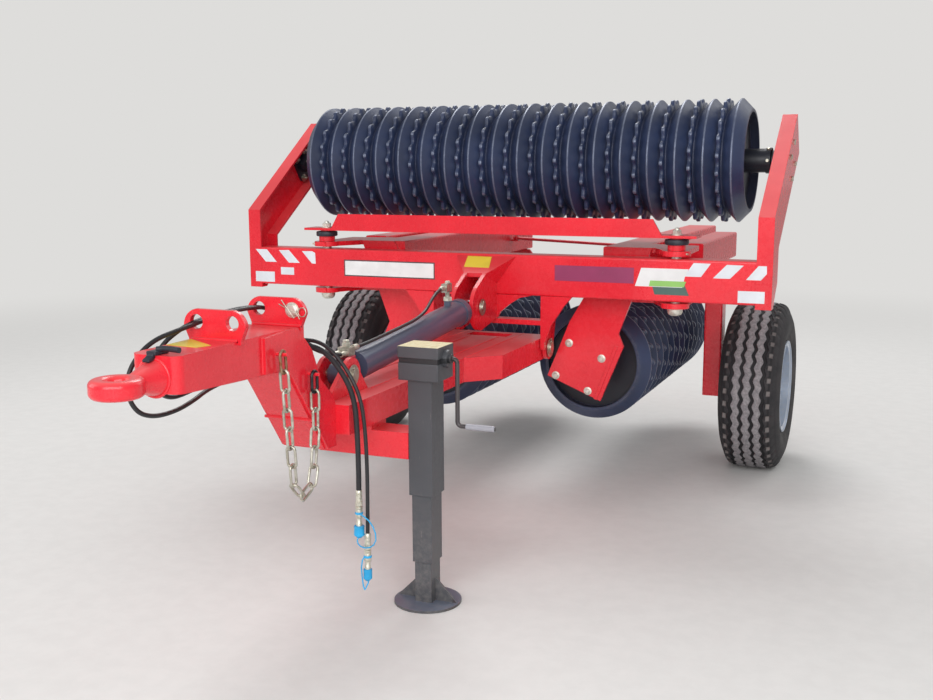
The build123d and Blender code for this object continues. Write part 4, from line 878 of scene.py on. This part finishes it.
# Tyre's section from the middle out, in metres: how far across and how far in from the crown. A groove's
# floor counts from the tread's depth, and sway is the share of the zigzag that a place takes
tread_section = (
    (0.0000, 0.0000, False, 1), (0.0070, 0.0000, False, 1), (0.0126, 0.0003, False, 1),
    (0.0138, 0.0012, False, 1), (0.0160, 0.0000, True, 1), (0.0295, 0.0000, True, 1),
    (0.0318, 0.0020, False, 1), (0.0330, 0.0009, False, 1), (0.0450, 0.0010, False, 1),
    (0.0570, 0.0016, False, 1), (0.0582, 0.0026, False, 1), (0.0605, 0.0010, True, 1),
    (0.0735, 0.0020, True, 1), (0.0756, 0.0050, False, 0.8), (0.0768, 0.0040, False, 0.8))
wall_section = (
    (0.0860, 0.0058), (0.0940, 0.0088), (0.1010, 0.0132), (0.1065, 0.0195), (0.1105, 0.0270),
    (0.1140, 0.0360), (0.1175, 0.0450), (0.1190, 0.0460), (0.1235, 0.0570), (0.1285, 0.0700),
    (0.1318, 0.0850), (0.1315, 0.1020), (0.1285, 0.1220), (0.1240, 0.1410), (0.1215, 0.1470),
    (0.1200, 0.1475), (0.1165, 0.1620), (0.1140, 0.1750), (0.1120, 0.1858))

# Notches of the tyre's shoulders: how far across they start and end, share of a wave, and depth
shoulder_notches = ((0.080, 0.100, 0.6, 0.0085), (0.100, 0.1145, 0.5, 0.005))
notch_start = 0.2
wave_steps = 8

# Rim's lip: how far across and radius
lip_section = ((0.1125, 0.1950), (0.1145, 0.2040), (0.1185, 0.2085), (0.1225, 0.2075), (0.1235, 0.2040),
               (0.1215, 0.2020), (0.1190, 0.2020), (0.1170, 0.1960), (0.1150, 0.1850), (0.1110, 0.1850))
wheel_nuts, nut_circle, nut_face = 6, 0.1025, 0.040
valve_angle, valve_radius = math.radians(40), 0.178


class ROLLER_OT_tyres(bpy.types.Operator):
    """Replace the tyres with ones that have a zigzag road tread, and add the rims' lips and nuts"""
    bl_idname = "roller.tyres"
    bl_label = "Tyres"

    def execute(self, context):
        for side, sign in sides:
            tyre = self.tyre(side, sign, context.scene.roller_details)
            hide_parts(f"tyre_{side}")
            self.lips(side, sign)
            self.nuts(side, sign)
            self.cap_and_valve(side, sign)
        return {"FINISHED"}

    def tyre(self, side, sign, details):
        half = [(across, tyre_radius - inward - (details.tread_depth if floor else 0.0), share)
                for across, inward, floor, share in tread_section]
        half += [(across, tyre_radius - inward, 0) for across, inward in wall_section]
        profile = [(-across, radius, share) for across, radius, share in half[:0:-1]] + half
        steps, rows = wave_steps * details.tread_waves, []
        for step in range(steps):
            phase, angle = step / wave_steps % 1, math.tau * step / steps
            sway = max(-0.8, min(0.8, abs(phase - 0.5) * 4 - 1)) / 0.8 * details.tread_sway
            row = []
            for across, radius, share in profile:
                for start, stop, end, depth in shoulder_notches:
                    if start < abs(across) < stop and notch_start < phase < end:
                        radius -= depth
                row.append((sign * wheel_x + across + sway * share, wheel_y + radius * math.cos(angle),
                            wheel_z + radius * math.sin(angle)))
            rows.append(row)
        form = Form()
        form.skin(rows, looped=True)
        return form.build(f"road_tyre_{side}", "tyre", f"wheel_{side}", "tyre", sharp=40.0)

    def lips(self, side, sign):
        """The rim's rolled lips."""
        form, hub, steps = Form(), Vector((sign * wheel_x, wheel_y, wheel_z)), 96
        for face in (1, -1):
            form.skin([[hub + Vector((face * across, math.cos(angle) * radius, math.sin(angle) * radius))
                        for across, radius in lip_section]
                       for angle in (math.tau * step / steps for step in range(steps))], looped=True)
        form.build(f"rim_lips_{side}", "rim", f"wheel_{side}", "rim")

    def nuts(self, side, sign):
        """Wheel nuts on their studs and washers."""
        form, out = Form(), to_right * sign
        for index in range(wheel_nuts):
            angle = math.radians(360 / wheel_nuts * index + 12)
            place = Vector((sign * (wheel_x + nut_face), wheel_y + nut_circle * math.cos(angle),
                            wheel_z + nut_circle * math.sin(angle)))
            form.turned(place, out, [(0.0, 0.0150), (0.004, 0.0150), (0.006, 0.0130)], 24)
            form.bolt(place + out * 0.005, out, 0.026, washer=False, stud=0.010)
        form.build(f"wheel_nuts_{side}", "zinc", f"wheel_{side}", "zinc")

    def cap_and_valve(self, side, sign):
        """The hub's dust cap and the tyre's valve."""
        body, cap, valve = f"wheel_{side}", Form(), Form()
        cap.turned((sign * (wheel_x + 0.044), wheel_y, wheel_z), to_right * sign, [
            (-0.002, 0.0400), (0.0, 0.0440), (0.004, 0.0440), (0.005, 0.0395), (0.020, 0.0380),
            (0.026, 0.0340), (0.029, 0.0240), (0.030, 0.0080)], 40)
        cap.build(f"hub_cap_{side}", "black rubber", body, "rim")
        out_y, out_z = math.cos(valve_angle), math.sin(valve_angle)
        place = (sign * (wheel_x + 0.046), wheel_y + valve_radius * out_y, wheel_z + valve_radius * out_z)
        valve.turned(place, (sign, -0.35 * out_y, -0.35 * out_z), [
            (-0.006, 0.0075), (0.004, 0.0070), (0.008, 0.0045), (0.028, 0.0042), (0.029, 0.0052),
            (0.040, 0.0052), (0.041, 0.0040)], 16)
        valve.build(f"tyre_valve_{side}", "black rubber", body, "tyre")


# A tooth of a toothed ring: share of the pitch and radius, from one valley to the next, in metres
tooth = ((0.00, 0.2325), (0.10, 0.2334), (0.19, 0.2372), (0.27, 0.2425), (0.36, 0.2478), (0.45, 0.2505),
         (0.55, 0.2505), (0.64, 0.2475), (0.72, 0.2420), (0.80, 0.2365), (0.90, 0.2332))
ring_teeth = 22
ring_pitch = 0.111

# Rollers: name, body, axis, first smooth ring along it, and toothed rings
rollers = (("top", "top_roller", to_right, -0.9435, 17), ("right", "roller_right", to_rear, 0.577, 11),
           ("left", "roller_left", to_rear, 0.577, 11))


class ROLLER_OT_rings(bpy.types.Operator):
    """Replace the toothed rings with cast ones that have rounded teeth"""
    bl_idname = "roller.rings"
    bl_label = "Toothed rings"

    def execute(self, context):
        for name, body, axis, first, count in rollers:
            form, centre = Form(), middle(f"shaft_{name}")
            centre -= axis * centre.dot(axis)
            for index in range(count):
                self.toothed(form, centre + axis * (first + ring_pitch * (index + 0.5)), axis, index * 0.37)
            thing = form.build(f"toothed_rings_{name}", f"roller {name}", body, "black", sharp=50.0)
            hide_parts(f"stars_{name}")
        return {"FINISHED"}

    def toothed(self, form, place, axis, turn):
        """One ring, with its teeth chamfered on both faces."""
        across, rows = axis.cross(to_top), []
        for index in range(ring_teeth):
            for share, tip in tooth:
                angle = math.tau * (index + share) / ring_teeth + turn
                out = to_top * math.cos(angle) + across * math.sin(angle)
                rows.append([place + axis * far + out * radius for far, radius in (
                    (-0.0075, tip - 0.0025), (-0.0052, tip), (0.0052, tip), (0.0075, tip - 0.0025),
                    (0.0090, ring_valley - 0.002), (-0.0090, ring_valley - 0.002))])
        form.skin(rows, looped=True)


# Turned pieces of a wing's pin, by height and radius in metres, each with its number of sides
pin_pieces = {
    "nuts": ("pale zinc", "zinc", (
        (((0.824, 0.0190), (1.111, 0.0190)), 24),
        (((1.1101, 0.0240), (1.1130, 0.0240), (1.1140, 0.0225)), 28),
        (((1.1140, 0.0190), (1.1270, 0.0190), (1.1300, 0.0160)), 6),
        (((1.1300, 0.0100), (1.1350, 0.0095), (1.1380, 0.0070), (1.1395, 0.0030)), 20),
        (((0.8258, 0.0345), (0.8235, 0.0345), (0.8225, 0.0330)), 32),
        (((0.8225, 0.0300), (0.8130, 0.0300), (0.8060, 0.0280), (0.8000, 0.0235), (0.7968, 0.0160),
          (0.7962, 0.0060)), 28))),
    "disc": ("black rubber", "black", (
        (((1.0725, 0.0400), (1.0735, 0.0445), (1.0765, 0.0465), (1.0900, 0.0465), (1.0935, 0.0445),
          (1.0945, 0.0400)), 40),)),
    "boss": ("red", "red", (
        (((1.0505, 0.0350), (1.0730, 0.0350)), 36), (((1.0940, 0.0270), (1.1000, 0.0270)), 32)))}


class ROLLER_OT_pins(bpy.types.Operator):
    """Replace the wings' pins with ones that have a black disc, a red boss and plated nuts"""
    bl_idname = "roller.pins"
    bl_label = "Wing pins"

    def execute(self, context):
        for side, sign in sides:
            for name, (finish, slot, profiles) in pin_pieces.items():
                form = Form()
                for profile, steps in profiles:
                    form.turned((sign * pin_x, pin_y, 0.0), to_top, profile, steps)
                thing = form.build(f"wing_pin_{name}_{side}", finish, "frame", slot)
                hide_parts(f"wing_pin_{side}")
        return {"FINISHED"}


class ROLLER_OT_jack(bpy.types.Operator):
    """The cover over the jack's gears, the body under its groove, and the crank's grip"""
    bl_idname = "roller.jack"
    bl_label = "Jack"

    def execute(self, context):
        low, high = jack_groove
        head, boss, grip = Form(), Form(), Form()
        for half_x, half_y, bottom, top in ((0.0684, 0.0594, high, jack_top_z + 0.0002),
                                            (0.0672, 0.0582, 0.7290, low)):
            head.prism([(jack_x + half_x * across, jack_y + half_y * along, bottom) for across, along in
                        ((-1, -1), (1, -1), (1, 1), (-1, 1))], (0, 0, top - bottom))
        head.build("jack_cover", "grey", "drawbar", "grey", edge=0.0020)
        for start, profile, count in ((0.0680, ((0.0, 0.0270), (0.004, 0.0270), (0.006, 0.0250)), 32),
                                      (0.0740, ((0.0, 0.0150), (0.014, 0.0150), (0.016, 0.0135)), 24)):
            boss.turned((jack_x + start, jack_y, 0.795), to_right, profile, count)
        boss.build("jack_gear_boss", "grey", "drawbar", "grey")
        grip.turned((jack_x + 0.136, jack_y, 0.586), to_right, [
            (0.0, 0.0078), (0.001, 0.0094), (0.092, 0.0094), (0.093, 0.0084), (0.0945, 0.0075)], 24)
        grip.build("jack_crank_grip", "grip", "drawbar", "grey")
        return {"FINISHED"}


# Signs and reflectors on the beam's front face: name, finish, X and Z of the corners, and thickness
thin, thick, thickest = 0.0008, 0.0013, 0.0018
beam_signs = (
    ("reflector_a", "reflector film", ((-1.115, 1.010), (-1.056, 1.010), (-1.006, 0.955),
                                       (-1.064, 0.955)), thin),
    ("reflector_b", "reflector film", ((-0.994, 1.008), (-0.942, 1.010), (-0.887, 0.954),
                                       (-0.944, 0.954)), thin),
    ("reflector_c", "reflector film", ((-0.875, 1.007), (-0.822, 1.008), (-0.808, 1.000), (-0.806, 0.953),
                                       (-0.826, 0.954)), thin),
    ("reflector_d", "reflector film", ((-1.119, 0.911), (-1.019, 0.911), (-1.019, 0.865),
                                       (-1.119, 0.865)), thin),
    ("reflector_e", "reflector film", ((-0.986, 0.933), (-0.918, 0.933), (-0.918, 0.900),
                                       (-0.986, 0.900)), thin),
    ("reflector_f", "reflector film", ((0.853, 1.009), (0.918, 1.008), (0.882, 0.956), (0.817, 0.956)), thin),
    ("reflector_g", "reflector film", ((0.978, 1.006), (1.041, 1.005), (0.991, 0.953), (0.927, 0.953)), thin),
    ("reflector_h", "reflector film", ((1.095, 1.005), (1.125, 1.005), (1.126, 0.976), (1.105, 0.951),
                                       (1.050, 0.951)), thin),
    ("reflector_i", "reflector film", ((1.022, 0.909), (1.121, 0.909), (1.121, 0.864), (1.022, 0.864)), thin),
    ("name_plate_border", "sign border", ((-0.664, 0.976), (-0.232, 0.976), (-0.232, 0.905),
                                          (-0.664, 0.905)), thin),
    ("name_plate", "white sign", ((-0.659, 0.971), (-0.237, 0.971), (-0.237, 0.910), (-0.659, 0.910)), thick),
    ("violet_plate", "violet sign", ((0.297, 0.983), (0.621, 0.983), (0.621, 0.921), (0.297, 0.921)), thin),
    ("grey_plate", "grey sign", ((0.690, 0.928), (0.818, 0.928), (0.838, 0.882), (0.704, 0.882)), thin),
    ("white_plate", "white sign", ((0.650, 0.984), (0.834, 0.984), (0.820, 0.952), (0.812, 0.912),
                                   (0.626, 0.912)), thick),
    ("green_plate", "green sign", ((0.686, 0.936), (0.826, 0.936), (0.818, 0.914), (0.682, 0.914)), thickest),
)

# Yellow plates: X and Y of the corners on the neck, and X, Y and Z of those on the sloping hood
neck_plate = ((-0.066, -1.750), (0.030, -1.756), (0.046, -1.716), (-0.064, -1.650))
hood_plate = ((-0.078, 0.2295, 1.0090), (0.029, 0.2275, 1.0080),
              (0.046, 0.1530, 0.9704), (-0.064, 0.1540, 0.9709))


class ROLLER_OT_signs(bpy.types.Operator):
    """Stick the reflectors and blank plates on"""
    bl_idname = "roller.signs"
    bl_label = "Signs"

    def execute(self, context):
        bead = 0.0003
        for name, finish, corners, lift in beam_signs:
            outline = [(x, beam_face_y - lift, z) for x, z in corners]
            Form().plate(name, finish, "frame", "rim", outline, (0, lift - 0.0001, 0), bead)
        outline = [(x, y, neck_top_z + 0.0001) for x, y in neck_plate]
        Form().plate("yellow_neck_plate", "yellow sign", "drawbar", "rim", outline, (0, 0, 0.0009), bead)
        Form().plate("yellow_hood_plate", "yellow sign", "frame", "rim", hood_plate,
                     (0, -0.0005, 0.0009), bead)
        return {"FINISHED"}


# Leans of the hanger plates and the arms, and half the squares that their bolts stand on
hanger_lean, hanger_half = math.radians(22.0), 0.076
arm_lean, bearing_half = math.radians(35.0), 0.052
arm_plate, bearing_flange = 0.010, 0.014
hanger_lip = ((0.523, 0.641), (0.437, 0.412), (0.423, 0.417), (0.509, 0.646))


class ROLLER_OT_bolts(bpy.types.Operator):
    """Bolts, nuts, split pins and grease nipples"""
    bl_idname = "roller.bolts"
    bl_label = "Bolts and pins"

    def execute(self, context):
        for side, sign in sides:
            self.hanger_bolts(side, sign)
        self.bearing_bolts()
        self.bearing_collars()
        self.split_pins("drawbar_split_pins", "drawbar", (("base_pin", 0.0032), ("tilt_pin", 0.004)))
        self.split_pins("rod_split_pins", "frame", (("rod_pin", 0.0032),))
        self.neck_pin()
        self.nipples()
        return {"FINISHED"}

    def hanger_bolts(self, side, sign):
        """Four bolts through each hanger plate, on a square that leans with the plate."""
        low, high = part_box(f"hangers_{side}")
        body, bolts, caps = f"wing_{side}", Form(), Form()
        up = Vector((sign * math.sin(hanger_lean), 0, math.cos(hanger_lean)))
        out = Vector((sign * math.cos(hanger_lean), 0, -math.sin(hanger_lean)))
        for face_y, way in ((low.y, -1), (high.y, 1)):
            centre = Vector((sign * roller_x, face_y, roller_z))
            for along, across in four_corners:
                place = centre - out * 0.016 + up * hanger_half * along + out * hanger_half * across
                bolts.bolt(place, (0, way, 0), 0.0175)
            caps.turned(centre, (0, way, 0), [(0.0, 0.0240), (0.0006, 0.0240)], 32)
        bolts.build(f"hanger_bolts_{side}", "pale zinc", body, "zinc")
        caps.build(f"hanger_caps_{side}", "red", body, "red")
        outline = [(sign * x, low.y, z) for x, z in hanger_lip]
        Form().plate(f"hanger_lip_{side}", "red", body, "red", outline, (0, -0.004, 0), 0.0010)

    def bearing_bolts(self):
        """Nuts of the middle roller's flange bearings, inside and outside each arm."""
        form = Form()
        for _, sign in sides:
            for along, across in four_corners:
                y = top_roller_y + bearing_half * (along * math.cos(arm_lean) - across * math.sin(arm_lean))
                z = top_roller_z + bearing_half * (along * math.sin(arm_lean) + across * math.cos(arm_lean))
                inside = arm_face_x - arm_plate - bearing_flange
                form.bolt((sign * inside, y, z), (-sign, 0, 0), 0.019, stud=0.006)
                form.turned((sign * arm_face_x, y, z), (sign, 0, 0),
                            [(0.0, 0.0115), (0.006, 0.0115), (0.008, 0.0095)], 6)
        form.build("bearing_bolts", "zinc", "frame", "zinc")

    def bearing_collars(self):
        """Stepped collars at the ends of the middle roller's tube, with their screws."""
        collar, screws = Form(), Form()
        for _, sign in sides:
            place, out = Vector((sign * 1.0665, top_roller_y, top_roller_z)), to_right * sign
            collar.turned(place, out, [(-0.022, 0.0520), (-0.002, 0.0520), (0.0, 0.0500), (0.001, 0.0400),
                                       (0.020, 0.0390), (0.021, 0.0300), (0.038, 0.0290)], 40)
            for y, z in ((-0.026, 0.045), (-0.052, 0.0)):
                screws.bolt(place - out * 0.012 + Vector((0, y, z)), (0, y, z), 0.013, washer=False)
            screws.turned(place, out, [(0.022, 0.0330), (0.030, 0.0330), (0.032, 0.0300)], 6)
        collar.build("bearing_collars", "black", "top_roller", "black")
        screws.build("bearing_screws", "cream zinc", "top_roller", "zinc")

    def split_pins(self, name, body, pins):
        """Washers and split pins at both ends of each pin."""
        form = Form()
        for node, wire in pins:
            low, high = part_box(node)
            y, z = (low.y + high.y) / 2, (low.z + high.z) / 2
            reach = (high.z - low.z) * 0.36
            for x, way in ((low.x, 1), (high.x, -1)):
                form.turned((x + way * 0.006, y, z), (way, 0, 0),
                            [(0.0, reach * 1.85), (0.0024, reach * 1.85), (0.003, reach * 1.75)], 32)
            for x in (low.x + 0.003, high.x - 0.003):
                form.tube([(x, y, z + reach), (x, y, z - reach * 0.8), (x, y + wire * 2, z - reach * 1.1)],
                          wire / 2, 8)
                loop = arc((x, y, z + reach + wire), to_rear, to_top, wire * 1.2, -60, 240, 10)
                form.tube(loop, wire / 2, 8)
        form.build(name, "zinc", body, "zinc", sharp=60.0)

    def neck_pin(self):
        """Plain pin in the rear ear's right hole, held by a spring cotter with a ring."""
        form, cotter, wire = Form(), Form(), 0.0016
        place = Vector((0.055, ear_places_y[1], 0.985))
        for profile in (((-0.019, 0.0140), (-0.016, 0.0175), (0.017, 0.0175), (0.020, 0.0140)),
                        ((-0.0115, 0.0180), (-0.0115, 0.0220), (-0.0085, 0.0220), (-0.0085, 0.0180))):
            form.turned(place, to_rear, profile, 32)
        form.build("neck_pin", "pale zinc", "drawbar", "zinc")
        front = place - to_rear * 0.0155
        for line in (((-0.038, -0.002, 0.016), (-0.010, -0.003, 0.004),
                      (0.020, -0.002, -0.010), (0.027, 0.0, -0.024)),
                     ((-0.030, -0.002, 0.028), (-0.008, -0.0035, 0.002), (0.010, -0.002, -0.022))):
            cotter.tube([front + Vector(point) for point in line], wire, 8)
        ring = arc(front + Vector((0.036, -0.002, -0.004)), to_right, (0, 0.1, 1), 0.0125, 0, 345, 22)
        cotter.tube(ring, wire, 8, closed=True)
        cotter.build("neck_pin_cotter", "zinc", "drawbar", "zinc", sharp=60.0)

    def nipples(self):
        """Grease nipples on the middle roller's bearings and on the wings' hinge bosses."""
        table = [("frame", (sign * 1.112, top_roller_y - 0.020, top_roller_z + 0.044), (0, -0.4, 1))
                 for _, sign in sides]
        table += [(f"wing_{side}", (sign * (pin_x + 0.045), pin_y - 0.031, 1.040), (sign, -0.7, 0))
                  for side, sign in sides]
        for index, (body, place, along) in enumerate(table):
            form = Form()
            form.turned(place, along, [(-0.003, 0.0045), (0.003, 0.0045), (0.004, 0.0030), (0.007, 0.0030),
                                       (0.008, 0.0036), (0.010, 0.0030), (0.011, 0.0015)], 12)
            form.build(f"grease_nipple_{index}", "cream zinc", body, "zinc")


# The hose catch at the neck's front: Y and Z of its hook, X and Y of its foot, and the grip's line
catch_hook = ((-1.8845, 0.950), (-1.8905, 0.950), (-1.8935, 0.9395), (-1.9100, 0.9320), (-1.9085, 0.9255),
              (-1.8845, 0.9300))
catch_foot = ((-0.013, -1.892), (0.014, -1.892), (0.016, -1.842), (-0.011, -1.842))
catch_grip = ((0.004, -1.873, 0.953), (0.018, -1.868, 0.9545),
              (0.040, -1.866, 0.9545), (0.066, -1.868, 0.9535))


class ROLLER_OT_neck(bpy.types.Operator):
    """The rubber catch that holds the hoses at the neck's front, and the ears' outer corners"""
    bl_idname = "roller.neck"
    bl_label = "Hose catch"

    def execute(self, context):
        catch, grip, corners = Form(), Form(), Form()
        catch.prism([(-0.012, y, z) for y, z in catch_hook], (0.020, 0, 0))
        catch.prism([(x, y, neck_top_z + 0.0005) for x, y in catch_foot], (0, 0, 0.010))
        catch.build("hose_catch", "black rubber", "drawbar", "hose", edge=0.0022)
        grip.tube(divided(catch_grip, 0.006), 0.0072, 14)
        grip.build("hose_catch_grip", "black rubber", "drawbar", "hose", sharp=60.0)
        for y in ear_places_y:
            for sign in (1, -1):
                front = y - ear_half + 0.0001
                bow = arc((sign * 0.0505, front, 0.9735), (sign, 0, 0), to_top, 0.0450, 2, 88, 14)
                bow += [Vector((sign * x, front, z)) for x, z in ((0.0560, 1.0120), (0.0890, 0.9760))]
                corners.prism(bow, (0, 2 * ear_half - 0.0002, 0))
        corners.build("ear_corners", "red", "drawbar", "red", edge=0.0012)
        return {"FINISHED"}


# Weld beads across the neck: Y, Z and half the length of each
cross_welds = ((-1.2975, 0.660, 0.080), (ear_places_y[0] - ear_half, 0.940, neck_half_x),
               (ear_places_y[0] + ear_half, 0.940, neck_half_x), (ear_places_y[1] - ear_half, 0.9405, 0.080))

# Seams along the deck: X on both sides, and Y of the ends
deck_seams = ((0.125, -0.290, 0.350), (0.062, -0.900, 0.230))


class ROLLER_OT_welds(bpy.types.Operator):
    """Weld beads under the paint"""
    bl_idname = "roller.welds"
    bl_label = "Welds"

    def execute(self, context):
        size, form = context.scene.roller_details.weld_size, Form()
        beads = [(1.0, (-half, y, z), (half, y, z)) for y, z, half in cross_welds]
        beads += [(0.8, (side * neck_half_x, -1.527, 0.932), (side * neck_half_x, -1.527, 0.836))
                  for side in (1, -1)]
        beads += [(0.6, (side * x, first, deck_top_z), (side * x, last, deck_top_z))
                  for x, first, last in deck_seams for side in (1, -1)]
        for share, first, last in beads:
            form.tube(divided((first, last), 0.003), size * share, 8, ripple=0.16)
        shank = arc((0, neck_front_y, 0.885), to_right, to_top, 0.0455, 0, 360 * 95 / 96, 95)
        form.tube(shank, size, 8, closed=True, ripple=0.16)
        form.build("weld_beads_drawbar", "weld", "drawbar", "red", sharp=80.0)
        return {"FINISHED"}


class ROLLER_PT_panel(bpy.types.Panel):
    """The steps in the sidebar"""
    bl_label = "Land Roller"
    bl_idname = "ROLLER_PT_panel"
    bl_space_type = "VIEW_3D"
    bl_region_type = "UI"
    bl_category = "Land Roller"

    def draw(self, context):
        for step in steps:
            self.layout.operator(step.bl_idname)


steps = (ROLLER_OT_stage, ROLLER_OT_finishes, ROLLER_OT_hoses, ROLLER_OT_chain, ROLLER_OT_rings,
         ROLLER_OT_tyres, ROLLER_OT_pins, ROLLER_OT_jack, ROLLER_OT_signs, ROLLER_OT_bolts,
         ROLLER_OT_neck, ROLLER_OT_welds)
groups = (RollerColours, RollerStage, RollerDetails)


def register():
    for made in groups + steps + (ROLLER_PT_panel,):
        bpy.utils.register_class(made)
    bpy.types.Scene.roller_colours = PointerProperty(type=RollerColours)
    bpy.types.Scene.roller_stage = PointerProperty(type=RollerStage)
    bpy.types.Scene.roller_details = PointerProperty(type=RollerDetails)


def unregister():
    del bpy.types.Scene.roller_colours, bpy.types.Scene.roller_stage, bpy.types.Scene.roller_details
    for made in reversed(groups + steps + (ROLLER_PT_panel,)):
        bpy.utils.unregister_class(made)


def main():
    register()
    for step in steps:
        folder, name = step.bl_idname.split(".")
        getattr(getattr(bpy.ops, folder), name)()


if __name__ == "__main__":
    main()
